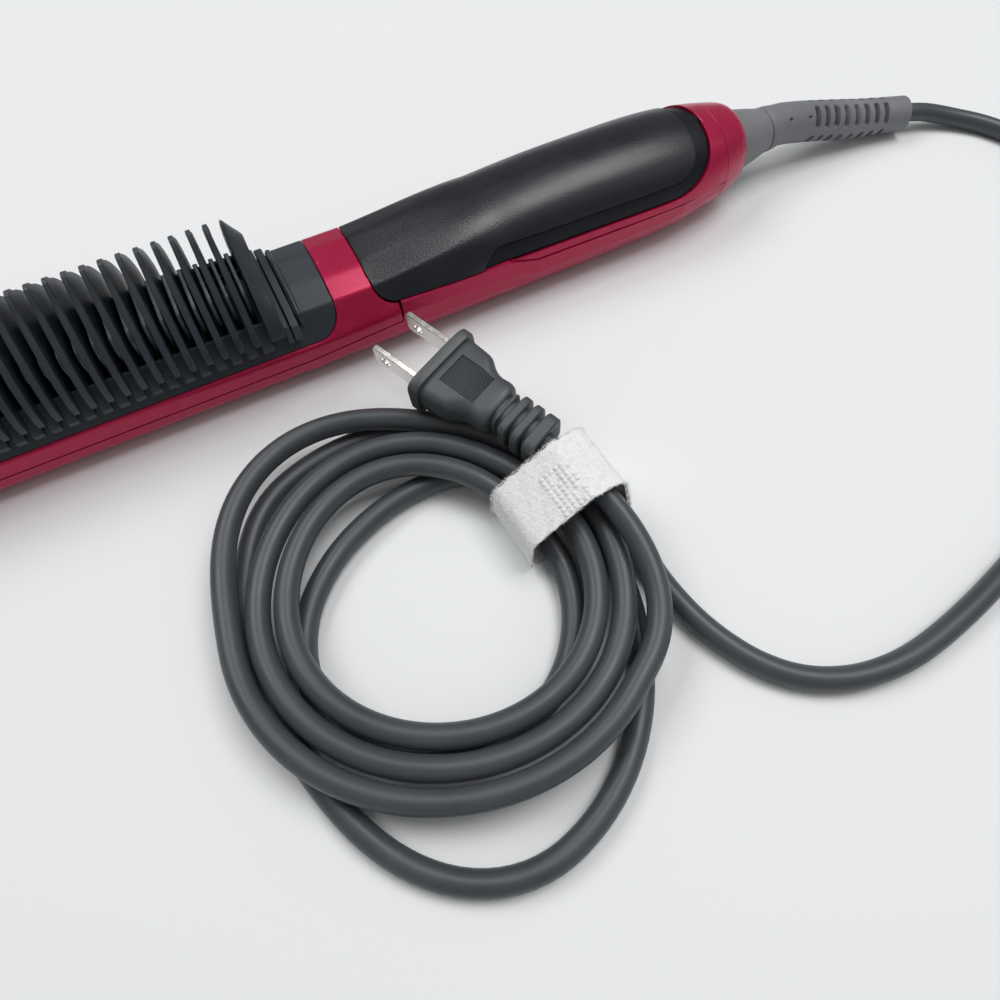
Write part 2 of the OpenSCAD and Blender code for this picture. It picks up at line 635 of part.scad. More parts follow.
function lifted(a) = (strap_t + 0.3) * ease((44 - abs(turn_of(a - tie_at + 180) - 180)) / 28);
function coil_point(w) = let (a = coil_from + w,
    r = mix(lower_loops(w), upper_loops(w), ease((w - 660) / 110)))
    [coil_c[0] + r * cos(a), coil_c[1] + r * sin(a), rest_z + (cord_d + layer_gap) * ease((w - 716) / 66)
        + 2.6 * ease((w - coil_end + 65) / 110) + lifted(a)];
coil_in_dir = unit_v(coil_point(1) - coil_point(0));
coil_out_dir = unit_v(coil_point(coil_end) - coil_point(coil_end - 1));
coil_in = coil_point(0) - cord_d * coil_in_dir;
coil_out = coil_point(coil_end) + cord_d * coil_out_dir;
coil_points = concat([coil_in], [for (w = [0:360 / coil_m:coil_end]) coil_point(w)], [coil_out]);

// The least gap between the loops, measured on points along the tube
coil_fine = [for (k = [0:len(coil_points) - 2], i = [0:3]) mix(coil_points[k], coil_points[k + 1], i / 4)];
coil_gap = min([for (i = [0:len(coil_fine) - 1], j = [i + 2 * coil_m:1:len(coil_fine) - 1])
    norm(coil_fine[i] - coil_fine[j])]) - cord_d;
echo(str("Least gap between the loops of the coil: ", coil_gap, " mm"));

module cord_lead() {
    p = smooth(concat(cord_route, [coil_in]), 2);
    color(graphite) tube(p, [for (q = p) cord_d / 2], 10, from = relief_dir, to = coil_in_dir);
}
module cord_coil() {
    color(graphite) tube(coil_points, [for (q = coil_points) cord_d / 2], 6,
        from = coil_in_dir, to = coil_out_dir);
}

// Plug: drawn with its blades along Y and its cord end at the origin
plug_at = [26.2, -74.8, 18.15];
plug_turn = 23.4;
plug_tilt = 1.3;
plug_roll = -6;
plug_l = 35;
plug_w = 18.5;
plug_h = 10.4;
plug_flange = [22.4, 3, 12.8];
blade_gap = 12.7;
blade_size = [1.5, 16, 6.35];
plug_dir = [-sin(plug_turn) * cos(plug_tilt), cos(plug_turn) * cos(plug_tilt), sin(plug_tilt)];
module plugged() { translate(plug_at) rotate([plug_tilt, 0, plug_turn]) rotate([0, plug_roll, 0]) children(); }
// Points of a rounded rectangle across the plug
function plug_ring(y, w, h, e = 4) = [for (k = [0:23]) let (c = cos(15 * k), s = sin(15 * k))
    [w / 2 * sign(c) * pow(abs(c), 2 / e), y, h / 2 * sign(s) * pow(abs(s), 2 / e)]];
module plug_body() {
    color(graphite) plugged() difference() {
        union() {
            skin([plug_ring(plug_l - 2.9, plug_w + 2, plug_h), plug_ring(plug_l - 8, plug_w, plug_h),
                plug_ring(plug_l - 16, plug_w - 3.5, plug_h), plug_ring(plug_l - 20, plug_w - 7, plug_h - 1),
                plug_ring(plug_l - 21, plug_w - 9, plug_h - 2)]);
            skin([plug_ring(plug_l, plug_flange[0], plug_flange[2], 6),
                plug_ring(plug_l - plug_flange[1], plug_flange[0], plug_flange[2], 6)]);
            skin([plug_ring(plug_l - 19, 9.5, 8.5, 2.5), plug_ring(0, 7.6, 7.6, 2.5)]);
            for (k = [0:3]) skin([plug_ring(2.6 + 4.2 * k, 12 - 0.2 * (3 - k), 9.4 + 0.2 * k),
                plug_ring(4.2 * k, 11.6 - 0.3 * (3 - k), 9.2 + 0.2 * k)]);
        }
        translate([-4.5, plug_l - 16, plug_h / 2 - 0.5]) cube([9, 11, 2]);
        for (s = [-1, 1]) translate([s * blade_gap / 2 - blade_size[0] / 2, plug_l - 9, -blade_size[2] / 2])
            cube([blade_size[0], 10, blade_size[2]]);
    }
}
module plug_blades() {
    color(steel) plugged() for (s = [-1, 1]) difference() {
        translate([s * blade_gap / 2 - blade_size[0] / 2, plug_l - 9, -blade_size[2] / 2])
            cube(blade_size + [0, 9, 0]);
        translate([s * blade_gap / 2, plug_l + 12, 0]) rotate([0, 90, 0])
            cylinder(h = 4, d = 3.2, center = true, $fn = 24);
    }
}
// Cord from the coil up to the plug, a curve between two places and directions
end_pull = [60, 70];
function pulled(t) = let (u = t * t * (3 - 2 * t)) mix(coil_out, plug_at, u)
    + end_pull[0] * t * pow(1 - t, 2) * coil_out_dir - end_pull[1] * t * t * (1 - t) * plug_dir;
module cord_end() {
    p = [for (k = [0:20]) pulled(k / 20)];
    color(graphite) tube(p, [for (q = p) cord_d / 2], 10, from = coil_out_dir, to = plug_dir);
}

// Strap tie round the bunched loops
tie_r = 38.3;
tie_l = 17.4;
tie_corner = 3.6;
tie_section = [[-11, 0], [-11, 6.6], [1.8, 13.6], [7, 13.6], [10.6, 0]];
module band(r) {
    hull() for (p = tie_section) translate(p + [0, tie_corner + strap_t + 0.05]) circle(r = r, $fn = 32);
}
module cord_tie() {
    color(white) translate([coil_c[0] + tie_r * cos(tie_at), coil_c[1] + tie_r * sin(tie_at), 0])
        rotate([90, 0, tie_at]) linear_extrude(tie_l, center = true) difference() {
            band(tie_corner + strap_t);
            band(tie_corner);
        }
}

back_shell();
head_frame();
tail_frame();
tail_ring();
neck_cover();
grip_cover();
grip_trim();
comb_frame();
heat_plate();
heater_element();
mica_sheet();
heater_clamp();
thermal_fuse();
heater_leads();
control_panel();
display_window();
display_module();
power_button();
plus_button();
minus_button();
tact_switches();
control_board();
triac();
filter_capacitor();
board_screws();
casing_screws();
mains_leads();
swivel_cradle();
swivel_cap();
cradle_screws();
swivel_bulb();
strain_relief();
cord_lead();
cord_coil();
cord_end();
cord_tie();
plug_body();
plug_blades();
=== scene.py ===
"""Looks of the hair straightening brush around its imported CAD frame. Lengths are in millimetres
until a mesh is made; the frame is in metres."""
import json
import math
import random

import bmesh
import bpy
from mathutils import Matrix, Vector


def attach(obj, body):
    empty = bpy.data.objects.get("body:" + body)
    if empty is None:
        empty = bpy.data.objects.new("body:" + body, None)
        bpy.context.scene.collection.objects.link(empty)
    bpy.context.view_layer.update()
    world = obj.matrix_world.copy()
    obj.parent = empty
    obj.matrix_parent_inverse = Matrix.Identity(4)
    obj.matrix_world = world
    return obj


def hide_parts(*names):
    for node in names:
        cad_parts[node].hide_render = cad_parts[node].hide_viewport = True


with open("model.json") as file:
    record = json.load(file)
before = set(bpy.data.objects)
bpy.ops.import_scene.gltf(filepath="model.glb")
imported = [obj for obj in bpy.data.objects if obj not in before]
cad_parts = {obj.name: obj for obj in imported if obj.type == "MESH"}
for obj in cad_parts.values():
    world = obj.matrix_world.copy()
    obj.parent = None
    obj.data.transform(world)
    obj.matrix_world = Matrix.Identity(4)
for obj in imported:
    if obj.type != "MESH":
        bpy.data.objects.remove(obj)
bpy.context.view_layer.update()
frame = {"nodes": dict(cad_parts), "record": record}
scene = bpy.context.scene
scene.view_settings.view_transform = "Standard"
MM = 0.001
rng = random.Random(7)

# Camera, fitted to the photograph: place in metres, tilt and turn in degrees
CAMERA_AT = (-0.028, -0.1565, 0.1721)
CAMERA_TILT, CAMERA_TURN = 28, -27
CAMERA_LENS, CAMERA_SENSOR = 27, 36


def make_camera():
    data = bpy.data.cameras.new("camera")
    data.sensor_fit = "HORIZONTAL"
    data.sensor_width = CAMERA_SENSOR
    data.lens = CAMERA_LENS
    data.clip_start, data.clip_end = 0.005, 20
    camera = bpy.data.objects.new("camera", data)
    scene.collection.objects.link(camera)
    camera.location = CAMERA_AT
    camera.rotation_euler = (math.radians(CAMERA_TILT), 0, math.radians(CAMERA_TURN))
    scene.camera = camera


make_camera()


# Small maths
def mix(a, b, t):
    return a + (b - a) * t


def unit(t):
    return max(0.0, min(1.0, t))


def ease(t):
    u = unit(t)
    return u * u * (3 - 2 * u)


def cosd(a):
    return math.cos(math.radians(a))


def sind(a):
    return math.sin(math.radians(a))


def lookup(x, table):
    """The value at x on the straight lines between the table's (place, value) pairs."""
    if x <= table[0][0]:
        return table[0][1]
    for (x0, y0), (x1, y1) in zip(table, table[1:]):
        if x <= x1:
            return mix(y0, y1, (x - x0) / (x1 - x0))
    return table[-1][1]


def through(p, k, t):
    """A point on the smooth curve through p, at the share t of the way from p[k] to p[k + 1]."""
    a, b = p[max(k - 1, 0)], p[k]
    c, d = p[k + 1], p[min(k + 2, len(p) - 1)]
    return 0.5 * (2 * b + (c - a) * t + (2 * a - 5 * b + 4 * c - d) * t * t
                  + (3 * b - a - 3 * c + d) * t ** 3)


def smooth(points, m):
    """The smooth curve through points, with m steps between each two."""
    p = [Vector(q) for q in points]
    return [through(p, k, i / m) for k in range(len(p) - 1) for i in range(m)] + [p[-1]]


# Materials
NOISE_RANGE = (0.3, 0.7)


class Nodes:
    """A material's node tree with the Principled shader at hand."""

    def __init__(self, name, color, rough, **sockets):
        self.mat = bpy.data.materials.new(name)
        self.mat.use_nodes = True
        self.tree = self.mat.node_tree
        self.shader = self.tree.nodes["Principled BSDF"]
        self.shader.inputs["Base Color"].default_value = (*color, 1)
        self.shader.inputs["Roughness"].default_value = rough
        for key, value in sockets.items():
            self.shader.inputs[key.replace("_", " ")].default_value = value
        self.height = None

    def node(self, kind, **values):
        n = self.tree.nodes.new(kind)
        for key, value in values.items():
            if key in n.bl_rna.properties:
                setattr(n, key, value)
            else:
                n.inputs[key.replace("_", " ")].default_value = value
        return n

    def link(self, a, b):
        self.tree.links.new(a, b)

    def noise(self, scale, detail=3, rough=0.55, stretch=None):
        n = self.node("ShaderNodeTexNoise", Scale=scale, Detail=detail, Roughness=rough)
        source = self.node("ShaderNodeTexCoord").outputs["Object"]
        if stretch:
            m = self.node("ShaderNodeMapping", Scale=stretch)
            self.link(source, m.inputs["Vector"])
            source = m.outputs["Vector"]
        self.link(source, n.inputs["Vector"])
        return n.outputs["Fac"]

    def vary_color(self, fac, low, high):
        r = self.node("ShaderNodeValToRGB")
        for stop, place, color in zip(r.color_ramp.elements, NOISE_RANGE, (low, high)):
            stop.position, stop.color = place, (*color, 1)
        self.link(fac, r.inputs["Fac"])
        self.link(r.outputs["Color"], self.shader.inputs["Base Color"])

    def vary_rough(self, fac, low, high):
        m = self.node("ShaderNodeMapRange")
        m.inputs["From Min"].default_value, m.inputs["From Max"].default_value = NOISE_RANGE
        m.inputs["To Min"].default_value, m.inputs["To Max"].default_value = low, high
        self.link(fac, m.inputs["Value"])
        self.link(m.outputs["Result"], self.shader.inputs["Roughness"])

    def bump(self, fac, strength, distance):
        b = self.node("ShaderNodeBump", Strength=strength, Distance=distance)
        self.link(fac, b.inputs["Height"])
        if self.height is not None:
            self.link(self.height, b.inputs["Normal"])
        self.height = b.outputs["Normal"]
        self.link(self.height, self.shader.inputs["Normal"])


def red_paint():
    """Metallic red with fine flakes under a thin clear coat."""
    m = Nodes("red_paint", (0.3, 0.008, 0.05), 0.3, Metallic=0.35, Specular_IOR_Level=0.25,
              Coat_Weight=0.3, Coat_Roughness=0.16, Coat_IOR=1.4)
    flakes = m.noise(9000, 1)
    m.vary_color(flakes, (0.27, 0.002, 0.026), (0.56, 0.014, 0.088))
    m.vary_rough(m.noise(60, 3), 0.28, 0.36)
    m.bump(flakes, 0.06, 0.00002)
    return m.mat


def grip_rubber():
    m = Nodes("grip_rubber", (0.005, 0.006, 0.009), 0.3, Specular_IOR_Level=0.55)
    m.vary_color(m.noise(35, 4), (0.004, 0.005, 0.009), (0.006, 0.008, 0.013))
    m.vary_rough(m.noise(70, 3), 0.27, 0.34)
    m.bump(m.noise(2200, 2), 0.6, 0.0001)
    return m.mat


def strap_fabric():
    m = Nodes("strap_fabric", (0.8, 0.8, 0.79), 0.85, Sheen_Weight=0.4, Sheen_Roughness=0.5)
    m.vary_color(m.noise(900, 3), (0.84, 0.85, 0.85), (0.96, 0.96, 0.955))
    m.bump(m.noise(1500, 4, 0.7), 0.9, 0.0004)
    return m.mat


def plastic(name, low, high, rough, grain=1800, depth=0.00003, strength=0.2, **sockets):
    m = Nodes(name, low, rough, **sockets)
    m.vary_color(m.noise(45, 4), low, high)
    m.vary_rough(m.noise(90, 3), rough - 0.04, rough + 0.06)
    m.bump(m.noise(grain, 2), strength, depth)
    return m.mat


def metal(name, low, high, rough, stretch=(1, 1, 1)):
    m = Nodes(name, low, rough, Metallic=1.0)
    m.vary_color(m.noise(120, 3), low, high)
    lines = m.noise(500, 3, stretch=stretch)
    m.vary_rough(lines, rough - 0.05, rough + 0.08)
    m.bump(lines, 0.15, 0.00001)
    return m.mat


# Each slot's darkest and lightest colour, its roughness, and what sets it apart
PLASTICS = {
    "trim_plastic": ((0.004, 0.005, 0.008), (0.006, 0.008, 0.012), 0.44, dict(Specular_IOR_Level=0.22)),
    "graphite_plastic": ((0.02, 0.026, 0.034), (0.031, 0.038, 0.047), 0.42,
                         dict(depth=0.00006, strength=0.4, Specular_IOR_Level=0.42)),
    "ceramic": ((0.8, 0.79, 0.75), (0.86, 0.85, 0.81), 0.6, {}),
    "mica": ((0.5, 0.4, 0.22), (0.66, 0.56, 0.36), 0.35, dict(grain=300)),
    "silicone": ((0.76, 0.75, 0.72), (0.84, 0.83, 0.8), 0.6, {}),
    "panel_plastic": ((0.012, 0.012, 0.014), (0.018, 0.018, 0.02), 0.16,
                      dict(grain=700, depth=0.00001, strength=0.1)),
    "window": ((0.006, 0.006, 0.008), (0.01, 0.01, 0.012), 0.08,
               dict(grain=400, depth=0.000005, strength=0.05)),
    "display": ((0.6, 0.63, 0.63), (0.7, 0.72, 0.72), 0.4, {}),
    "button_plastic": ((0.1, 0.105, 0.115), (0.13, 0.136, 0.147), 0.42, {}),
    "switch_black": ((0.02, 0.02, 0.02), (0.03, 0.03, 0.03), 0.5, {}),
    "board_green": ((0.02, 0.12, 0.05), (0.03, 0.18, 0.07), 0.35, dict(grain=900)),
    "chip_black": ((0.02, 0.02, 0.02), (0.03, 0.03, 0.03), 0.5, {}),
    "capacitor_yellow": ((0.7, 0.42, 0.03), (0.8, 0.5, 0.05), 0.3, {}),
    "frame_black": ((0.03, 0.03, 0.033), (0.042, 0.042, 0.046), 0.5, {}),
    "boot_rubber": ((0.15, 0.155, 0.165), (0.185, 0.19, 0.2), 0.52, dict(grain=1500)),
    "cord_vinyl": ((0.046, 0.052, 0.058), (0.062, 0.069, 0.076), 0.4,
                   dict(grain=1200, depth=0.00004, strength=0.3, Specular_IOR_Level=0.5)),
    "plug_vinyl": ((0.05, 0.056, 0.061), (0.068, 0.075, 0.08), 0.42,
                   dict(grain=1500, depth=0.00008, strength=0.45, Specular_IOR_Level=0.5)),
}
METALS = {
    "heat_plate": ((0.14, 0.15, 0.17), (0.2, 0.215, 0.24), 0.42, {}),
    "spring_steel": ((0.6, 0.61, 0.63), (0.72, 0.73, 0.75), 0.3, dict(stretch=(1, 20, 20))),
    "fuse_metal": ((0.7, 0.7, 0.7), (0.8, 0.8, 0.8), 0.3, {}),
    "screw_steel": ((0.5, 0.51, 0.53), (0.62, 0.63, 0.65), 0.32, {}),
    "blade_nickel": ((0.72, 0.7, 0.66), (0.82, 0.8, 0.76), 0.2, dict(stretch=(1, 1, 12))),
}


def make_materials():
    mats = {"red_shell": red_paint(), "grip_rubber": grip_rubber(), "tie_fabric": strap_fabric()}
    for maker, table in ((plastic, PLASTICS), (metal, METALS)):
        for name, (low, high, rough, more) in table.items():
            mats[name] = maker(name, low, high, rough, **more)
    return mats


MATS = make_materials()
SLOT_OF = {s["node"]: s["material_slot"] for s in frame["record"]["subparts"]}
BODY_OF = {n: b for b, ns in frame["record"]["behaviour"]["bodies"].items() for n in ns}
for node_name, node_obj in frame["nodes"].items():
    node_obj.data.materials.clear()
    node_obj.data.materials.append(MATS[SLOT_OF[node_name]])

# Mesh building
WELD = 0.002


def piece(name, points, faces, node=None, sharp=35, slot=None, body=None, weld=False):
    """A shaded mesh that stands for a CAD node and rides on its body."""
    mesh = bpy.data.meshes.new(name)
    mesh.from_pydata([tuple(Vector(p) * MM) for p in points], [], faces)
    if weld:
        joined = bmesh.new()
        joined.from_mesh(mesh)
        bmesh.ops.remove_doubles(joined, verts=joined.verts, dist=WELD * MM)
        joined.to_mesh(mesh)
        joined.free()
    mesh.validate(clean_customdata=False)
    obj = bpy.data.objects.new(name, mesh)
    scene.collection.objects.link(obj)
    slot = slot or SLOT_OF[node]
    mesh.materials.append(MATS[slot])
    shade(mesh, sharp)
    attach(obj, body or BODY_OF[node])
    if node:
        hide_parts(node)
    return obj


def shade(mesh, sharp):
    """Smooth shading, with an edge where two faces meet at more than the angle sharp."""
    for f in mesh.polygons:
        f.use_smooth = True
    normals = {}
    for f in mesh.polygons:
        for k in f.edge_keys:
            normals.setdefault(k, []).append(f.normal)
    limit = cosd(sharp)
    marks = []
    for e in mesh.edges:
        n = normals.get(tuple(sorted(e.vertices)), [])
        marks.append(len(n) == 2 and n[0].dot(n[1]) < limit)
    attribute = mesh.attributes.new("sharp_edge", "BOOLEAN", "EDGE")
    attribute.data.foreach_set("value", marks)


def apply_modifiers(obj, sharp):
    graph = bpy.context.evaluated_depsgraph_get()
    done = bpy.data.meshes.new_from_object(obj.evaluated_get(graph))
    obj.modifiers.clear()
    obj.data = done
    if "sharp_edge" in done.attributes:
        done.attributes.remove(done.attributes["sharp_edge"])
    shade(done, sharp)


def mirror(p):
    return Vector((p.x, -p.y, p.z))


def center(outline):
    return sum(p[0] for p in outline) / len(outline), sum(p[1] for p in outline) / len(outline)


def drawn_in(outline, by):
    """A closed outline with each side moved inward by a distance."""
    out = []
    for k in range(len(outline)):
        p0, p1, p2 = outline[k - 1], outline[k], outline[(k + 1) % len(outline)]
        before = Vector((p1[0] - p0[0], p1[1] - p0[1])).normalized()
        after = Vector((p2[0] - p1[0], p2[1] - p1[1])).normalized()
        square = Vector((-before.y, before.x))
        normal = Vector((-(before.y + after.y), before.x + after.x))
        normal = normal.normalized() if normal.length > 1e-6 else square
        scale = 1 / max(0.5, normal.dot(square))
        out.append((p1[0] + normal.x * by * scale, p1[1] + normal.y * by * scale))
    return out


class Bag:
    """Points and faces of several forms in one mesh."""

    def __init__(self):
        self.points, self.faces = [], []

    def grid(self, rows, wrap=False, caps=False, flip=False):
        """Faces between rows of equal count, closed round each row if wrap, and at the ends if caps."""
        start, cols = len(self.points), len(rows[0])
        for r in rows:
            self.points += [Vector(p) for p in r]
        for j in range(len(rows) - 1):
            for k in range(cols if wrap else cols - 1):
                a, b = start + j * cols + k, start + j * cols + (k + 1) % cols
                f = (a, b, b + cols, a + cols)
                self.faces.append(f[::-1] if flip else f)
        if caps:
            first = [start + k for k in range(cols)]
            last = [start + (len(rows) - 1) * cols + k for k in range(cols)]
            self.faces += [first if flip else first[::-1], last[::-1] if flip else last]

    def pair(self, rows):
        """A grid on one side and its mirror image on the other."""
        self.grid(rows)
        self.grid([[mirror(p) for p in r] for r in rows], flip=True)

    def prism(self, outline, place, lengths, inset):
        """An outline, as (a, b) pairs, lofted between two lengths with chamfered ends."""
        area = sum(outline[k - 1][0] * outline[k][1] - outline[k][0] * outline[k - 1][1]
                   for k in range(len(outline)))
        inward = inset if area > 0 else -inset
        a, b = lengths
        steps = [(a, inward), (a + inset, 0), (b - inset, 0), (b, inward)]
        self.grid([[place(p, t) for p in drawn_in(outline, d)] for t, d in steps], wrap=True, caps=True)

    def add(self, name, node=None, **more):
        return piece(name, self.points, self.faces, node, **more)


# Stations and sizes of the casing
X_NOSE, X_RIB, X_COLLAR, X_GRIP = -145.5, -14.5, -4.0, 7.0
X_JOINT, X_ARM, X_TRIM, X_RING, X_TAIL = 12.4, 55.0, 117.1, 121.8, 131.5
X_CORE, X_CORE_END = 38.0, 111.1
AXIS_Z = 14.8
HALF_W, TAPER, TAPER_L = 18, 6.4, 41
NOSE_L, NOSE_BLUNT, NOSE_LIFT = 16, 0.42, 2.5
NECK_H, SWELL, SWELL_L = 24.4, 6.8, 69
TAIL_DROP, TAIL_DROP_L, TAIL_LIFT, TAIL_LIFT_L = 4.4, 48, 3.15, 28
TAIL_ROUND, TAIL_EDGE, LOW_FLAT = 3, 0.9, 0.35
# Squareness of the section: above the waist at the head, neck and grip, below it at head and tail
HEAD_E, NECK_E, GRIP_E_DROP = 3.6, 2.5, 0.4
LOW_E, LOW_TAIL_E = 2.6, 2.15


def rounding(x):
    d = unit((x - X_TAIL + TAIL_ROUND) / TAIL_ROUND)
    return TAIL_EDGE * (1 - math.sqrt(1 - d * d))


def half_w(x):
    n, t = unit((x - X_NOSE) / NOSE_L), unit((x - X_TAIL + TAPER_L) / TAPER_L)
    return HALF_W * mix(NOSE_BLUNT, 1, math.sqrt(1 - (1 - n) ** 2)) - TAPER * t ** 2.8 - rounding(x)


def top_z(x):
    s, t = unit((x - X_GRIP) / SWELL_L), unit((x - X_TAIL + TAIL_DROP_L) / TAIL_DROP_L)
    return NECK_H + SWELL * sind(90 * s) ** 1.3 - TAIL_DROP * t ** 2.4 - rounding(x)


def low_z(x):
    n, t = unit((x - X_NOSE) / NOSE_L), unit((x - X_TAIL + TAIL_LIFT_L) / TAIL_LIFT_L)
    return NOSE_LIFT * (1 - n) ** 2 + TAIL_LIFT * t ** 2.1 - LOW_FLAT + rounding(x)


# Lines on the casing's side: the seam, the rim of the comb's base and the covers' lower edges
HEAD_SEAM, TAIL_SEAM, RIM_H = 9.5, 15.0, 14.8
GRIP_EDGE, COVER_EDGE = 17.5, 22.0
COLLAR_R, CORNER_R, TRIM_R, CORE_R, CORE_RAMP, ARM_SLOPE = 7, 6, 16, 9, 7, 9
SEAM = [(X_NOSE, HEAD_SEAM), (X_RIB, HEAD_SEAM), (X_JOINT, HEAD_SEAM + 2), (X_JOINT + 0.5, GRIP_EDGE),
        (X_ARM - ARM_SLOPE, GRIP_EDGE), (X_ARM, TAIL_SEAM), (X_TAIL, TAIL_SEAM)]


def corner(r, far):
    """How far a corner of radius r has curved away, at the distance far from its end."""
    return 0 if far >= r else r - math.sqrt(max(0, r * r - (r - far) ** 2))


def seam_z(x):
    return lookup(x, SEAM)


def rim_z(x):
    return RIM_H + corner(COLLAR_R, max(0, X_COLLAR - x))


def grip_z(x):
    return GRIP_EDGE + corner(CORNER_R, max(0, x - X_GRIP)) + corner(TRIM_R, max(0, X_TRIM - x))


def core_z(x):
    if x < X_CORE:
        return grip_z(x)
    if x < X_CORE + CORE_RAMP:
        return mix(grip_z(x), COVER_EDGE, sind(90 * (x - X_CORE) / CORE_RAMP))
    return COVER_EDGE + corner(CORE_R, max(0, X_CORE_END - x))


def waist_z(x):
    return mix(HEAD_SEAM, TAIL_SEAM, unit((x - X_RIB) / (X_RING - X_RIB)))


def top_e(x):
    return mix(HEAD_E, NECK_E, ease((x - X_RIB + 4) / 12)) - GRIP_E_DROP * ease((x - X_GRIP) / SWELL_L)


def low_e(x):
    return mix(LOW_E, LOW_TAIL_E, ease((x - X_TAIL + 60) / 60))


# Flats of the neck and collar in a unit quarter section: normal and distance
FLATS = [(0, 1, 1.0), (0.350, 0.937, 1.041), (0.880, 0.476, 1.02), (1, 0, 1.0)]
EDGE_HARD, EDGE_SOFT = 95, 9
FLATS_FADE = 0.45


def faceted(x):
    """Share of the flats in the section: whole at the neck, a tenth at the tail."""
    return 1 - FLATS_FADE * ease((x - 10) / 50) - FLATS_FADE * ease((x - 60) / 55)


def profile(x, a):
    """Unit section of the casing at angle a from -90 to 90: how far out and how far up."""
    c, s = cosd(a), sind(a)
    e = 2 / (top_e(x) if s >= 0 else low_e(x))
    out, up = abs(c) ** e, math.copysign(abs(s) ** e, s)
    if s <= 0:
        return out, up
    hardness = mix(EDGE_HARD, EDGE_SOFT, ease((x - 3) / 45))
    length = math.hypot(out, up)
    u, v = out / length, up / length
    r = sum(max(0.0, (nx * u + nz * v) / d) ** hardness for nx, nz, d in FLATS) ** (-1 / hardness)
    return mix(out, u * r, faceted(x)), mix(up, v * r, faceted(x))


def on_casing(x, d, a):
    """A point of the casing at x, drawn in by d, at the angle a round its section."""
    flip = a > 90 or a < -90
    b = (180 - a if a > 90 else -180 - a) if flip else a
    out, up = profile(x, b)
    w = waist_z(x)
    h = top_z(x) - w - d if up >= 0 else w - low_z(x) - d
    y = (half_w(x) - d) * out
    return Vector((x, -y if flip else y, max(d, w + h * up)))


HALVINGS, STEEPEST = 26, 84


def side_angle(x, d, z):
    """The angle at which one side of the casing has the height z, found by halving."""
    low, high = -89.9, 89.9
    for _ in range(HALVINGS):
        middle = (low + high) / 2
        if on_casing(x, d, middle).z < z:
            low = middle
        else:
            high = middle
    return min((low + high) / 2, STEEPEST)


# Rows of the shells: an outer face whose edges are rolled and turned in
LIP, ROLL, REVEAL = 1.4, 0.22, 0.2
OVER_N, TOP_N, SIDE_N, TAIL_TOP_N, ROUND_N = 120, 80, 24, 16, 96
STEP, LEAST_STEP = 1.6, 0.05
LENGTH_PER_DEGREE = 0.0175


def leaving(x, r, n):
    """Places from x to x + r, dense near x, for a rounded corner that begins there."""
    return [x + r * (1 - cosd(90 * k / n)) for k in range(n + 1)]


def nearing(x, r, n):
    """Places from x - r to x, dense near x, for a rounded corner that ends there."""
    return [x - r * (1 - sind(90 * k / n)) for k in range(n + 1)]


def stations(x0, x1, step=STEP, more=()):
    """Even places along X from x0 to x1, and those of more that lie between them."""
    n = max(2, int((x1 - x0) / step))
    xs = {round(x, 4) for x in [x0, x1, *(mix(x0, x1, k / n) for k in range(n + 1)), *more]}
    out = []
    for x in sorted(x for x in xs if x0 <= x <= x1):
        if not out or x - out[-1] > LEAST_STEP:
            out.append(x)
    if x1 - out[-1] > 1e-6:
        out[-1] = x1
    return out


NOSE_XS = leaving(X_NOSE, NOSE_L, 14)[1:]


def arc(x, d, a0, a1, n):
    return [on_casing(x, d, mix(a0, a1, k / n)) for k in range(n + 1)]


def edge(x, d, z):
    """The turned-in edge of a shell at the height z, from inside to outside."""
    return [on_casing(x, d + e, side_angle(x, d + e, z)) for e in (LIP, ROLL)]


def turned(x, r, start=0):
    """A circle round the casing's axis, from the angle start."""
    angles = [start + 360 / ROUND_N * k for k in range(ROUND_N)]
    return [Vector((x, r * cosd(a), AXIS_Z + r * sind(a))) for a in angles]


def over_row(x, d, z):
    """A row over the top, from the height z on one side to the same on the other."""
    a = side_angle(x, d, z + ROLL)
    side = edge(x, d, z)
    return side + arc(x, d, a, 180 - a, OVER_N) + [mirror(p) for p in reversed(side)]


def over_rows(places, a, n=TOP_N):
    """Rows over the top from the angle a, one for each place along X and depth."""
    return [arc(x, d, a, 180 - a, n) for x, d in places]


def beside_row(x, d, z0, z1, n=SIDE_N):
    """A row up one side between two heights, turned in at both."""
    z1 = max(z1, z0 + 2.2 * ROLL)
    a0, a1 = side_angle(x, d, z0 + ROLL), side_angle(x, d, z1 - ROLL)
    return edge(x, d, z0) + arc(x, d, a0, a1, n) + edge(x, d, z1)[::-1]


def split_row(x, d, z, top, n=TOP_N):
    """A row over the top in three spans: up one side to the angle top, across and down."""
    side = edge(x, d, z) + arc(x, d, side_angle(x, d, z + ROLL), top, SIDE_N)
    return side + arc(x, d, top, 180 - top, n)[1:-1] + [mirror(p) for p in reversed(side)]


def arm_row(x, z0, z1, top):
    """A row up one side from z0 to z1, or to the angle top if that is lower, where it turns in."""
    a0, a1 = side_angle(x, 0, z0 + ROLL), min(side_angle(x, 0, z1 - ROLL), top)
    past = a1 + 0.4 * ROLL / (half_w(x) * LENGTH_PER_DEGREE)
    return edge(x, 0, z0) + arc(x, 0, a0, a1, SIDE_N) + [on_casing(x, e, past) for e in (ROLL, LIP)]


def nose_cap(bag, z0, z1):
    """Flat front of a nose shell between two heights."""
    side = arc(X_NOSE, 0, side_angle(X_NOSE, 0, z0), side_angle(X_NOSE, 0, z1), SIDE_N)
    bag.grid([side, [mirror(p) for p in side]])


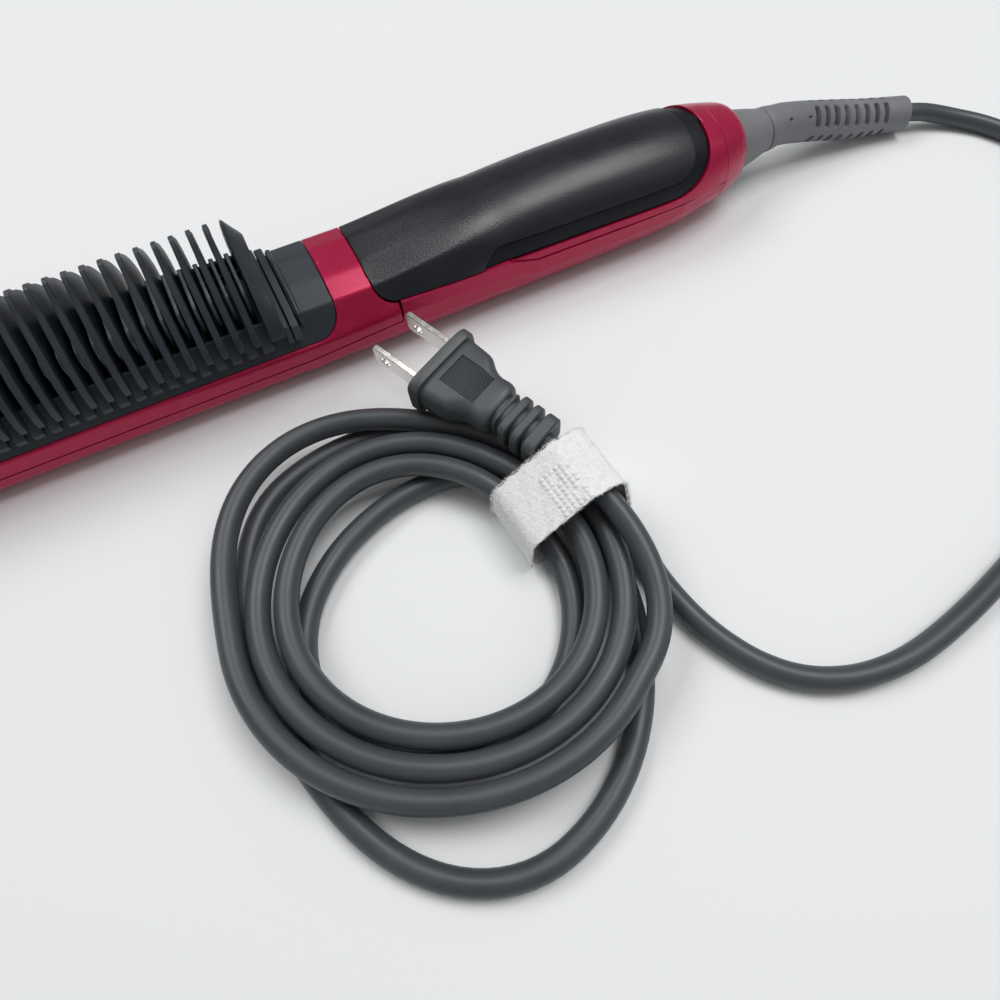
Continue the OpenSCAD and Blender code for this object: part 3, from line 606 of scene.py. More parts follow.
# Casing
def make_head_frame():
    bag = Bag()
    xs = [x for x in stations(X_NOSE, X_COLLAR, more=NOSE_XS) if x < X_COLLAR - COLLAR_R]
    xs += nearing(X_COLLAR, COLLAR_R, 14) + [X_COLLAR + ROLL]
    bag.pair([beside_row(x, 0, seam_z(x), rim_z(x) - REVEAL) for x in xs])
    nose_cap(bag, HEAD_SEAM, RIM_H - REVEAL)
    # collar, whose two ends turn in over the top
    end = X_GRIP - REVEAL - ROLL

    def top(x):
        return side_angle(x, 0, GRIP_EDGE + CORNER_R - REVEAL - ROLL)
    bag.grid([split_row(x, 0, seam_z(x), top(x)) for x in stations(X_COLLAR + ROLL, end, 1)])
    front = side_angle(X_COLLAR, 0, RIM_H + COLLAR_R - REVEAL)
    bag.grid(over_rows([(X_COLLAR, LIP), (X_COLLAR, ROLL), (X_COLLAR + ROLL, 0)], front))
    bag.grid(over_rows([(end, 0), (end + ROLL, ROLL), (end + ROLL, LIP)], top(end)))
    # arms under the grip's front corners
    xs = [end] + leaving(X_GRIP - REVEAL, CORNER_R, 18)
    xs = [x for x in xs if x < X_JOINT - 0.1] + [X_JOINT]
    bag.pair([arm_row(x, seam_z(x), grip_z(x + REVEAL) - REVEAL, top(end)) for x in xs])
    return bag.add("casing_head", "head_frame", weld=True)


# Angle at which the tail frame's arms end, and the finer seam that it shares with the tail ring
TAIL_TOP = 80
RING_GAP, RING_EDGE = 0.06, 0.08


def make_tail_frame():
    bag = Bag()
    begin = X_TRIM + REVEAL + ROLL
    slope = leaving(X_ARM - ARM_SLOPE, ARM_SLOPE, 14)[1:]
    xs = stations(X_ARM - ARM_SLOPE + 1 + REVEAL, X_TRIM, more=slope)
    xs = [x for x in xs if x < X_TRIM - TRIM_R]
    xs += sorted(leaving(X_TRIM + REVEAL, -TRIM_R, 40) + [begin])
    bag.pair([arm_row(x, seam_z(x), grip_z(x - REVEAL) - REVEAL, TAIL_TOP) for x in xs])
    end = X_RING - RING_GAP
    places = [(x, 0) for x in stations(begin, end - RING_EDGE, 0.8)] + [(end, RING_EDGE), (end, LIP)]
    bag.grid([split_row(x, d, TAIL_SEAM, TAIL_TOP, TAIL_TOP_N) for x, d in places])
    bag.grid(over_rows([(X_TRIM + REVEAL, LIP), (X_TRIM + REVEAL, ROLL), (begin, 0)], TAIL_TOP, TAIL_TOP_N))
    return bag.add("casing_tail", "tail_frame", weld=True)


# Mouth of the tail ring: depth from the end and radius
RING_MOUTH = [(0, 10.25), (0.15, 10.12), (2.2, 10.1)]


def make_tail_ring():
    bag = Bag()
    step = 360 / ROUND_N

    def ring(x, d):
        # the first point keeps off the angle at which the two sides meet
        return [on_casing(x, d, -180 + step * k + (0.01 if k == 0 else 0)) for k in range(ROUND_N)]
    xs = stations(X_RING, X_TAIL - TAIL_ROUND, 1.2) + nearing(X_TAIL, TAIL_ROUND, 10)[1:]
    rows = [ring(X_RING, LIP), ring(X_RING, RING_EDGE), ring(X_RING + RING_EDGE, 0)]
    rows += [ring(x, 0) for x in xs if x > X_RING + 2 * ROLL]
    rows += [turned(X_TAIL - depth, r, -180) for depth, r in RING_MOUTH]
    bag.grid(rows, wrap=True)
    return bag.add("casing_end", "tail_ring")


RIB_R, RIB_FOOT = 0.8, 19.6


def make_neck():
    bag = Bag()
    end = X_COLLAR - REVEAL
    places = [(x, 0) for x in [X_RIB, X_RIB + 2.4] + nearing(end, COLLAR_R, 14)[:-1]]
    bag.grid([over_row(x, d, rim_z(x + REVEAL)) for x, d in places + [(end, ROLL), (end, LIP)]])
    # rounded rib where the neck meets the comb
    rib = [(X_RIB, 4)]
    rib += [(X_RIB + RIB_R - RIB_R * cosd(15 * k), 0.3 - RIB_R * sind(15 * k)) for k in range(13)]
    rib += [(X_RIB + 2 * RIB_R, 1.5)]
    bag.grid([over_row(x, d, RIB_FOOT) for x, d in rib])
    return bag.add("neck", "neck_cover")


def distinct(xs):
    return sorted({round(x, 3) for x in xs})


def make_grip():
    bag = Bag()
    xs = leaving(X_GRIP, CORNER_R, 16) + leaving(X_CORE, CORE_RAMP, 16) + nearing(X_CORE_END, CORE_R, 18)
    middle = X_GRIP + CORNER_R
    xs += [x for x in stations(middle, X_CORE_END - CORE_R) if x > middle + 0.2]
    places = [(X_GRIP, LIP), (X_GRIP, ROLL), (X_GRIP + ROLL, 0)]
    places += [(x, 0) for x in distinct(xs) if X_GRIP + 2 * ROLL < x < X_CORE_END - 2 * ROLL]
    places += [(X_CORE_END - ROLL, 0), (X_CORE_END, ROLL), (X_CORE_END, LIP)]
    bag.grid([over_row(x, d, core_z(x)) for x, d in places])
    return bag.add("grip_skin", "grip_cover")


TRIM_STEP, TRIM_GAP = 0.6, 0.05


def make_trim():
    """The band round the grip: a strip below its edge on each side, joined over its end."""
    bag = Bag()
    xs = leaving(X_CORE + 1 + REVEAL, CORE_RAMP - 1, 16) + nearing(X_CORE_END, CORE_R, 18)
    xs += stations(X_CORE + CORE_RAMP + 0.3, X_CORE_END - CORE_R)
    bag.pair([beside_row(x, TRIM_STEP, grip_z(x), core_z(x - REVEAL) - REVEAL, 14) for x in distinct(xs)])
    begin = X_CORE_END + TRIM_GAP
    xs = [begin + (X_TRIM - X_CORE_END - TRIM_GAP) * sind(90 * k / 20) for k in range(21)]
    places = [(begin, TRIM_STEP + LIP)] + [(x, TRIM_STEP) for x in xs] + [(X_TRIM, TRIM_STEP + LIP)]
    bag.grid([over_row(x, d, grip_z(x)) for x, d in places])
    return bag.add("grip_trim_band", "grip_trim")


# Comb
FIN_N, FIN_PITCH, FIN_T, FIN_TOP, FLOOR_H = 25, 4.15, 1.7, 45.9, 19.2
FIN_CHAMFER, FIN_TIP_T = 0.22, 0.72
# Height from which a fin thins towards its tip, and an end plate slopes, and over which length
FIN_THINS, GUARD_SLOPES = (39, 6), (28, 14)
X_FIN = X_RIB - 12
GUARD_X, FAR_GUARD_X = X_RIB - 6.5, X_FIN - (FIN_N - 1) * FIN_PITCH - 5.4
GUARD_DROP = 5.3
# Half outline of a fin, from its tip: how far out and how far down
FIN_EDGE = [(0, 0), (0.9, -0.06), (1.6, -0.5), (2.4, -1.1), (3.0, -1.6), (4.0, -3.0), (6.5, -5.1),
            (9.1, -7.8), (11.5, -10.6), (13.8, -13.5), (15.8, -16.6), (17.1, -19.1), (18.0, -21.6),
            (17.9, -24.4)]
# Steps through an end plate's thickness: place and chamfer
GUARD_STEPS = [(-2, 0.35), (-1.75, 0), (-1.3, 0), (-0.7, 0), (0, 0), (0.7, 0), (1.3, 0), (1.75, 0),
               (2, 0.35)]
LEDGE = [(17.9, FLOOR_H - 1), (17.9, FLOOR_H + 0.15), (13.6, 23.9), (12.9, 24.1), (12.4, 23.8),
         (12.2, 21.1), (10.2, 21.1), (10.2, FLOOR_H - 1)]
LEDGE_SINK, GUARD_FACE = 0.05, 1.9
# Sloped blocks between the near end plate and the neck: both ends and height
BLOCKS = [(GUARD_X + 2.1, GUARD_X + 3.6, 24.2), (GUARD_X + 4.0, X_RIB - 0.3, 23.6)]
CAP_H, CAP_DROP, CAP_L, CAP_N = 24, 4.6, 10, 24


def fin_outline():
    side = [(y, FIN_TOP + z) for y, z in FIN_EDGE]
    return side + [(-y, z) for y, z in reversed(side[1:])]


def along_x(p, t):
    return Vector((t, p[0], p[1]))


def add_fins(bag, outline):
    for k in range(FIN_N):
        def place(p, t, x=X_FIN - k * FIN_PITCH):
            return Vector((x + t * mix(1, FIN_TIP_T, ease((p[1] - FIN_THINS[0]) / FIN_THINS[1])), p[0], p[1]))
        bag.prism(outline, place, (-FIN_T / 2, FIN_T / 2), FIN_CHAMFER)


def add_guard(bag, outline, x, s):
    """A thick end plate at x, whose top slopes down towards the side s."""
    def place(p, t, chamfer):
        y, z = p
        if y:
            y -= math.copysign(min(abs(y), chamfer), y)
        if z > 25:
            z -= chamfer
        slope = ease((z - GUARD_SLOPES[0]) / GUARD_SLOPES[1])
        drop = GUARD_DROP * slope * unit((s * t + 1.5) / 3.2)
        return Vector((x + t, y, z - 0.1 - drop))
    bag.grid([[place(p, t, chamfer) for p in outline] for t, chamfer in GUARD_STEPS], wrap=True, caps=True)


def base_half(x):
    """Half width of the comb's base at x, inside its rolled edge."""
    return on_casing(x, ROLL, side_angle(x, ROLL, FLOOR_H)).y


def add_base(bag):
    """Dark band round the base, and the deck that the fins stand on."""
    xs = stations(X_NOSE, X_RIB - 0.02, more=NOSE_XS)
    bag.pair([beside_row(x, 0, RIM_H, FLOOR_H, 10) for x in xs])
    nose_cap(bag, RIM_H, FLOOR_H)
    halves = [(x, base_half(x)) for x in stations(X_NOSE, X_RIB - REVEAL, 4, NOSE_XS)]
    bag.grid([[Vector((x, w, FLOOR_H)), Vector((x, -w, FLOOR_H))] for x, w in halves], flip=True)


def add_beside(bag, outline, ends, s, inset):
    """A bar along X, with its outline on the side s."""
    sided = [(s * y, z) for y, z in outline]
    bag.prism(sided if s > 0 else sided[::-1], along_x, ends, inset)


def add_ledges(bag):
    """Sloped ledges between the fins, and between the end plates and their next fins."""
    inner = FIN_T / 2
    for s in (1, -1):
        for k in range(FIN_N + 1):
            x1 = X_FIN - (k - 1) * FIN_PITCH - inner + LEDGE_SINK if k else GUARD_X - GUARD_FACE
            x0 = X_FIN - k * FIN_PITCH + inner - LEDGE_SINK if k < FIN_N else FAR_GUARD_X + GUARD_FACE
            add_beside(bag, LEDGE, (x0, x1), s, 0.05)


def add_blocks(bag):
    for s in (1, -1):
        for x0, x1, z in BLOCKS:
            outline = [(17.6, FLOOR_H - 1), (17.6, FLOOR_H + 0.2), (15.4, z - 2.2), (9, z - 0.4), (0, z),
                       (0, FLOOR_H - 1)]
            add_beside(bag, outline, (x0, x1), s, 0.2)


def add_nose_cap(bag):
    """Rounded cap over the nose, up to the far end plate."""
    rows = []
    for x in leaving(X_NOSE + 0.2, FAR_GUARD_X - 2.2 - X_NOSE, 10):
        w = base_half(x)
        rise = CAP_H - CAP_DROP * (1 - unit((x - X_NOSE) / CAP_L)) ** 2 - FLOOR_H
        angles = [180 * k / CAP_N for k in range(CAP_N + 1)]
        rows.append([Vector((x, w * cosd(a), FLOOR_H - 0.2 + rise * sind(a) ** 0.6)) for a in angles])
    bag.grid(rows, flip=True)


def make_comb():
    bag = Bag()
    outline = fin_outline()
    add_fins(bag, outline)
    add_guard(bag, outline, GUARD_X, 1)
    add_guard(bag, outline, FAR_GUARD_X, -1)
    add_base(bag)
    add_ledges(bag)
    add_blocks(bag)
    add_nose_cap(bag)
    return bag.add("comb", "comb_frame", sharp=24)


TOOTH_EDGE = [(9.4, 14.4), (9.4, 28.2), (8.9, 29.2), (7.4, 30.4), (6.8, 30.5)]
TOOTH_HALF_T = 0.6
TOOTH_BAR = [(-12.5, 13.4), (-12.5, 16.2), (12.5, 16.2), (12.5, 13.4)]


def make_blades():
    """Metal teeth between the fins, on one bar."""
    bag = Bag()
    outline = [(-y, z) for y, z in TOOTH_EDGE] + TOOTH_EDGE[::-1]
    for k in range(FIN_N):
        def place(p, t, x=X_FIN - k * FIN_PITCH + FIN_PITCH / 2):
            return Vector((x + t, p[0], p[1]))
        bag.prism(outline, place, (-TOOTH_HALF_T, TOOTH_HALF_T), 0.2)
    bag.prism(TOOTH_BAR, along_x, (FAR_GUARD_X + 1, GUARD_X + 3.5), 0.3)
    return bag.add("blades", "heat_plate")


# Tubes
def headings(p):
    return [(p[min(k + 1, len(p) - 1)] - p[max(k - 1, 0)]).normalized() for k in range(len(p))]


def tube_rows(path, n, radius):
    """Rings of n points round a path. The radius is a function of x and the angle a."""
    angles = [360 * k / n for k in range(n)]
    rows = []
    for q, t in zip(path, headings(path)):
        u = Vector((0, 0, 1)).cross(t).normalized()
        v = t.cross(u)
        rows.append([q + radius(q.x, a) * (v * cosd(a) - u * sind(a)) for a in angles])
    return rows


# Cord: its free route, down to the floor and along it, then the coil
CORD_D, CORD_N = 5.8, 28
REST_Z = CORD_D / 2 + 0.1
ROUTE = [(204, -6, 6.1), (208, -6.9, 5.9), (214, -8.7, 5), (222, -13.3, 3.6)]
ROUTE += [(x, y, REST_Z) for x, y in [
    (230, -21), (236, -32.7), (238, -46.5), (236, -60.5), (230, -74.5), (221, -87.5), (210, -99.5),
    (197, -110.5), (183, -120.5), (167, -129.5), (150, -137.5), (132, -144.5), (114, -149.5),
    (96, -153.5), (80, -155.5), (68, -154.5), (59, -151.5), (52, -147), (46.5, -141), (42.5, -134),
    (39.7, -126.5), (38.1, -119), (37.4, -112)]]
COIL_C = (-12.6, -89.2)
COIL_N, COIL_R, COIL_PITCH = 5, 53.5, 6.5
COIL_FROM, COIL_END, COIL_STEP = -12, 360 * COIL_N - 45, 2.5
# The lower loops wind in from outside the coil's radius, and the upper ones wind out again
LOWER_OUT, LOWER_PITCH, UPPER_IN = 6.7, 15.1, 23
# Turned angle and length of the way from the lower loops to the upper: across, and up
SHIFT, CLIMB = (660, 110), (716, 66)
END_RISE, END_RISE_FROM, END_RISE_L = 2.6, 65, 110
LAYER_GAP, STRAP_T, STRAP_GAP, TIE_AT = 0.5, 0.6, 0.3, 5
LIFT_HALF, LIFT_L = 44, 28
# Bows of single loops: turned angle at the middle, half length and height
BOWS = [(58.1, 167.2, -12.2), (174.4, 44.8, -5.8), (224.7, 58.6, -12.9), (267.1, 92.1, 19.1),
        (474.8, 139.1, -16.8), (638.5, 129.3, 7)]
COIL_BULGE = (360 * COIL_N - 230, 58, 7.6)
# Shape of the upper loops: height, count round the coil and angle of each wave
WAVES = [(2.72, 1, 93.2), (1.32, 2, 62.6), (0.7, 3, 40.3)]


def bow(at, half, h, w):
    u = abs(w - at) / half
    return h * cosd(90 * u) ** 2 if u < 1 else 0


def lower_loops(w):
    return COIL_R + LOWER_OUT - LOWER_PITCH * w / 360 + sum(bow(*b, w) for b in BOWS)


def upper_loops(w, a):
    r = COIL_R - UPPER_IN + COIL_PITCH * (w / 360 - 2)
    for h, n, at in WAVES:
        r += h * cosd(n * (a + at))
    return r + bow(*COIL_BULGE, w)


def lifted(a):
    """Rise of the loops where the strap passes under them."""
    away = abs((a - TIE_AT + 180) % 360 - 180)
    return (STRAP_T + STRAP_GAP) * ease((LIFT_HALF - away) / LIFT_L)


def coil_point(w):
    """A point of the coil's centre line, by the angle turned since its start."""
    a = COIL_FROM + w
    r = mix(lower_loops(w), upper_loops(w, a), ease((w - SHIFT[0]) / SHIFT[1]))
    z = (REST_Z + (CORD_D + LAYER_GAP) * ease((w - CLIMB[0]) / CLIMB[1])
         + END_RISE * ease((w - COIL_END + END_RISE_FROM) / END_RISE_L) + lifted(a))
    return Vector((COIL_C[0] + r * cosd(a), COIL_C[1] + r * sind(a), z))


PLUG_AT = Vector((26.2, -74.8, 18.15))
PLUG_TURN, PLUG_TILT, PLUG_ROLL, PLUG_L = 23.4, 1.3, -6, 35
END_PULL, END_N = (60, 70), 40


def cord_end():
    """The cord's last stretch, from the coil to the plug."""
    out = (coil_point(COIL_END) - coil_point(COIL_END - 1)).normalized()
    start = coil_point(COIL_END) + CORD_D * out
    across = cosd(PLUG_TILT)
    aim = Vector((-sind(PLUG_TURN) * across, cosd(PLUG_TURN) * across, sind(PLUG_TILT)))
    points = []
    for k in range(END_N + 1):
        t = k / END_N
        points.append(start.lerp(PLUG_AT, ease(t)) + END_PULL[0] * t * (1 - t) ** 2 * out
                      - END_PULL[1] * t * t * (1 - t) * aim)
    return points


def make_cord():
    into = (coil_point(1) - coil_point(0)).normalized()
    lead = smooth(ROUTE + [tuple(coil_point(0) - CORD_D * into)], 8)
    coil = [coil_point(COIL_STEP * k) for k in range(int(COIL_END / COIL_STEP) + 1)]
    path = lead + coil + cord_end()
    bag = Bag()
    bag.grid(tube_rows(path, CORD_N, lambda x, a: CORD_D / 2), wrap=True, caps=True)
    cord = bag.add("cord", "cord_lead", sharp=60)
    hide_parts("cord_coil", "cord_end")
    length = sum((b - a).length for a, b in zip(path, path[1:]))
    return cord, path, length


cord, cord_path, cord_length = make_cord()

# Swivel bulb: radius and distance behind the casing's end
BULB = [(9.8, -5), (9.8, -0.5), (9.76, 0), (9.6, 1), (9.3, 2.4), (8.95, 4), (8.55, 5.8), (8.15, 7.6),
        (7.75, 9.3), (7.35, 10.8), (7.0, 12.2), (6.75, 13.4), (6.65, 13.8), (6.4, 14), (2.6, 14)]


def make_bulb():
    bag = Bag()
    bag.grid([turned(p.x, p.y) for p in smooth([(X_TAIL + x, r, 0) for r, x in BULB], 3)], wrap=True)
    return bag.add("bulb", "swivel_bulb", sharp=50)


# Strain relief: a sleeve with rows of slots on four sides and pin holes near its root
RELIEF_X = X_TAIL + 14
RELIEF_ROUTE = [(RELIEF_X + 0.3, 0, AXIS_Z), (RELIEF_X + 6, 0, AXIS_Z), (158, 0, 13.6), (170, -0.5, 10.8),
                (182, -2, 8.4), (193, -3.5, 6.8), (204, -6, 6.1)]
RELIEF_ROOT_R, RELIEF_BODY_R, RELIEF_END_R, RELIEF_N = 6.7, 6.2, 5.5, 120
SLOTS = [164.3 + 4.3 * k for k in range(8)]
SLOT_R, SLOT_HALF, SLOT_DEPTH = 0.85, 2.7, 2.0
PIN_HOLES = [(x, a) for x in (152.6, 160.6) for a in (45, 135, 225, 315)]
PIN_R, PIN_DEPTH = 0.42, 1.2
CUT_FROM, CUT_TO, CUT_EDGE = 151.5, 196.5, 0.3
FINE_STEP, PLAIN_STEP = 0.22, 0.9
DEGREES_IN_RADIAN = 57.3


def relief_radius(x, a):
    """Distance of the sleeve's face from its centre line at x and the angle a."""
    r = RELIEF_ROOT_R
    if x >= RELIEF_X + 1.5:
        r = mix(RELIEF_ROOT_R, RELIEF_BODY_R, ease((x - RELIEF_X - 1.5) / 4))
    r = mix(r, RELIEF_END_R, unit((x - 180) / 24))
    turn = abs(a % 90 - 45)
    for slot_x in SLOTS:
        gap = math.hypot(x - slot_x, max(0, turn * r / DEGREES_IN_RADIAN - SLOT_HALF)) - SLOT_R
        r -= SLOT_DEPTH * ease(0.5 - gap / CUT_EDGE)
    for hole_x, hole_a in PIN_HOLES:
        gap = math.hypot(x - hole_x, ((a - hole_a + 180) % 360 - 180) * r / DEGREES_IN_RADIAN) - PIN_R
        r -= PIN_DEPTH * ease(0.5 - gap / CUT_EDGE)
    return r


def make_relief():
    # even steps along the sleeve, fine ones where it is cut
    coarse = smooth(RELIEF_ROUTE, 60)
    path, last = [coarse[0]], coarse[0]
    for q in coarse[1:]:
        step = FINE_STEP if CUT_FROM < q.x < CUT_TO else PLAIN_STEP
        if (q - last).length >= step:
            path.append(q)
            last = q
    path.append(coarse[-1])
    rows = tube_rows(path, RELIEF_N, relief_radius)
    end = path[-1]
    rows.append([end + (p - end) * 0.6 for p in rows[-1]])
    bag = Bag()
    bag.grid(rows, wrap=True)
    return bag.add("relief_sleeve", "strain_relief", sharp=50)


# Plug. Rings of its body: distance behind the front, width, height and squareness
PLUG_BODY = [(2.9, 20.4, 10.4, 5), (5, 20, 10.4, 5), (8, 19.5, 10.4, 5), (9.8, 19.1, 10.4, 5),
             (10.8, 18.5, 10.4, 5), (11.8, 17.3, 10.4, 4.5), (12.8, 15.8, 10.3, 4), (13.9, 14.5, 10.1, 4),
             (15.1, 13.7, 9.9, 3.6), (16.3, 13.4, 9.8, 3.5), (17.4, 13.6, 9.8, 3.5), (18.4, 13.8, 9.8, 3.5),
             (19.4, 13.6, 9.7, 3.5), (20.3, 12.9, 9.4, 3.5), (20.9, 11.9, 8.9, 3.2), (21.2, 10.4, 8.2, 3)]
PLUG_FLANGE = [(0, 21.8, 12.2, 6), (0.3, 22.4, 12.8, 6), (2.6, 22.4, 12.8, 6), (3, 21.9, 12.3, 6)]
PLUG_STEM = [(19, 9.2, 8, 2.5), (PLUG_L, 7.6, 7.4, 2.5)]
# Ribs round the stem: place from the cord's end, thickness, width and height
PLUG_RIBS = [(0, 3.3, 12, 9.4), (4.7, 2.3, 12, 9.5), (8.4, 2.3, 12.1, 9.6), (12, 0.9, 10.6, 8.8)]
PLUG_N, PLUG_TOP, PLUG_SHARP = 48, 5.2, 38
PANEL_HALF, PANEL_FRONT, PANEL_REAR, PANEL_DEPTH = 4.5, 5, 16, 0.5
BAR_N, BAR_PITCH, BAR_HALF = 15, 0.58, 0.15
# From the plug's own axes, with its cord end at the origin and its blades along Y, to the scene's
PLUG_PLACE = Matrix.Translation(PLUG_AT)
for angle, axis in ((PLUG_TURN, "Z"), (PLUG_TILT, "X"), (PLUG_ROLL, "Y")):
    PLUG_PLACE = PLUG_PLACE @ Matrix.Rotation(math.radians(angle), 4, axis)


def plug_ring(y, w, h, e):
    """A rounded rectangle across the plug at y."""
    def span(size, share):
        return size / 2 * math.copysign(abs(share) ** (2 / e), share)
    angles = [360 * k / PLUG_N for k in range(PLUG_N)]
    return [Vector((span(w, cosd(a)), y, span(h, sind(a)))) for a in angles]


def plug_bar(x0, x1, rear, front):
    return [(x0, PLUG_L - rear), (x1, PLUG_L - rear), (x1, PLUG_L - front), (x0, PLUG_L - front)]


def make_plug():
    bag = Bag()

    def loft(rings):
        bag.grid([[PLUG_PLACE @ p for p in plug_ring(*r)] for r in rings], wrap=True, caps=True, flip=True)

    def upright(p, t):
        return PLUG_PLACE @ Vector((p[0], p[1], t))
    for rings in (PLUG_BODY, PLUG_FLANGE, PLUG_STEM):
        loft([(PLUG_L - y, w, h, e) for y, w, h, e in rings])
    for y, t, w, h in PLUG_RIBS:
        loft([(y + t, w - 0.6, h - 0.6, 5), (y + t - 0.3, w, h, 5), (y + 0.3, w - 0.1, h - 0.1, 5),
              (y, w - 0.8, h - 0.7, 5)])
    plug = bag.add("plug", "plug_body", sharp=PLUG_SHARP)
    # recessed panel on top with bars along it
    cutter = Bag()
    panel = plug_bar(-PANEL_HALF, PANEL_HALF, PANEL_REAR, PANEL_FRONT)
    cutter.prism(panel, upright, (PLUG_TOP - PANEL_DEPTH, 8), 0.1)
    tool = cutter.add("plug_cutter", slot="plug_vinyl", body="casing")
    cut = plug.modifiers.new("recess", "BOOLEAN")
    cut.object, cut.operation, cut.solver = tool, "DIFFERENCE", "EXACT"
    cut.use_self = True
    apply_modifiers(plug, PLUG_SHARP)
    bpy.data.objects.remove(tool)
    bars = Bag()
    for k in range(BAR_N):
        x = BAR_PITCH * k - BAR_PITCH * (BAR_N - 1) / 2
        bar = plug_bar(x - BAR_HALF, x + BAR_HALF, PANEL_REAR - 0.4, PANEL_FRONT + 0.3)
        bars.prism(bar, upright, (PLUG_TOP - PANEL_DEPTH - 0.2, PLUG_TOP - 0.1), 0.1)
    bars.add("plug_bars", slot="plug_vinyl", body="casing")
    return plug


# Plug blades: half outline from the root to the tip, as distance past the front and half width
BLADE_X, HOLE_R, HOLE_AT, HOLE_N = 6.35, 1.6, 12, 32
BLADE_EDGE = [(-9, 3.175), (15.2, 3.175), (15.8, 2.9), (16, 2.3)]
# Steps through a blade's thickness: place and chamfer
BLADE_STEPS = [(-0.75, 0.12), (-0.63, 0), (0.63, 0), (0.75, 0.12)]


def make_plug_blades():
    bag = Bag()
    outline = [(PLUG_L + y, -z) for y, z in BLADE_EDGE] + [(PLUG_L + y, z) for y, z in BLADE_EDGE[::-1]]
    c, quarter = PLUG_L + HOLE_AT, HOLE_N // 4
    angles = [360 * k / HOLE_N for k in range(HOLE_N)]
    hole = [(c + HOLE_R * cosd(a), HOLE_R * sind(a)) for a in angles]
    ring = [(c + 2.9 * cosd(a), 2.9 * sind(a)) for a in angles]
    for blade_x in (-BLADE_X, BLADE_X):
        def place(t, y, z, x=blade_x):
            return PLUG_PLACE @ Vector((x + t, y, z))
        bag.grid([[place(t, c + (y - c) * (HOLE_R + d) / HOLE_R, z * (HOLE_R + d) / HOLE_R) for y, z in hole]
                  for t, d in BLADE_STEPS], wrap=True)
        for (t, d), flip in ((BLADE_STEPS[0], True), (BLADE_STEPS[-1], False)):
            # a ring of quads round the hole, so that the blade is open there
            mouth = [place(t, c + (y - c) * 1.075, z * 1.075) for y, z in hole]
            around = [place(t, y, z) for y, z in ring]
            bag.grid([mouth, around], wrap=True, flip=flip)
            # the plate between the ring and the rim, in two halves
            start = len(bag.points)
            rim = start + HOLE_N
            bag.points += around + [place(t, y - (d if y > PLUG_L else 0), z * 0.965) for y, z in outline]
            front = [start + k % HOLE_N for k in range(quarter, -quarter - 1, -1)]
            rear = [start + k for k in range(3 * quarter, quarter - 1, -1)]
            for f in ([rim + k for k in range(1, 7)] + front, [rim, rim + 1] + rear + [rim + 6, rim + 7]):
                bag.faces.append(f if flip else f[::-1])
        bag.grid([[place(t, y - (d if y > PLUG_L else 0), z * (1 - 0.29 * d)) for y, z in outline]
                  for t, d in BLADE_STEPS], wrap=True)
    return bag.add("plug_prongs", "plug_blades", sharp=40)


# Strap round the coil
TIE_R, TIE_L, TIE_CORNER, TIE_STEP, TIE_N = 38.3, 17.4, 3.6, 0.7, 40
TIE_SECTION = [(10.6, 0), (7, 13.6), (1.8, 13.6), (-11, 6.6), (-11, 0)]
# Patch on the strap: counts, first place and steps along and across, and the share left out
PATCH_COLS, PATCH_ROWS, PATCH_FROM, PATCH_STEPS, PATCH_GAPS = 6, 9, (45, -7.8), (2, 1.32), 0.1
# Height and half size of a patch pad's rings
PAD_RINGS = [(-0.4, 0.5), (0.04, 0.46), (0.14, 0.3)]
PAD_CORNERS = [(-1, -1), (1, -1), (1, 1), (-1, 1)]
FIBRES = 6000


def tie_loop(r):
    """Closed outline at the distance r round the section of the tie."""
    low, n, out = TIE_CORNER + STRAP_T + 0.05, len(TIE_SECTION), []
    for k in range(n):
        p, q, o = TIE_SECTION[k], TIE_SECTION[(k + 1) % n], TIE_SECTION[k - 1]
        a0 = math.atan2(-(p[0] - o[0]), p[1] - o[1])
        a1 = math.atan2(-(q[0] - p[0]), q[1] - p[1])
        turn = (a1 - a0) % (2 * math.pi)
        m = max(2, int(r * turn / TIE_STEP))
        for i in range(m):
            a = a0 + turn * i / m
            out.append((p[0] + r * math.cos(a), p[1] + low + r * math.sin(a)))
        m = max(1, int(math.hypot(q[0] - p[0], q[1] - p[1]) / TIE_STEP))
        nx, nz = r * math.cos(a1), r * math.sin(a1)
        out += [(mix(p[0], q[0], i / m) + nx, mix(p[1], q[1], i / m) + low + nz) for i in range(m)]
    return out


def strap_rows(outer, mid):
    """The strap's rings across its width, a little wavy, with frayed edges."""
    half = TIE_L / 2

    def wave(k, y):
        return 0.16 * math.sin(0.9 * k + 0.6 * y) + 0.12 * math.sin(2.3 * k - 1.1 * y)

    def height(k, y, z):
        return max(0.06, z - (0.12 + wave(k, y) * 0.4) * (1 if z > 10 else 0))
    inner = [(mid[0] + (x - mid[0]) * 0.95, mid[1] + (z - mid[1]) * 0.95) for x, z in outer]
    rows = [[Vector((x, -half, z)) for x, z in inner]]
    for y in [-half + TIE_L * j / TIE_N for j in range(TIE_N + 1)]:
        fray = 0.25 if abs(y) > half - 0.2 else 0
        rows.append([Vector((x, y + fray * math.sin(7.3 * k) * 1.2, height(k, y, z)))
                     for k, (x, z) in enumerate(outer)])
    return rows + [[Vector((x, half, z)) for x, z in inner]]


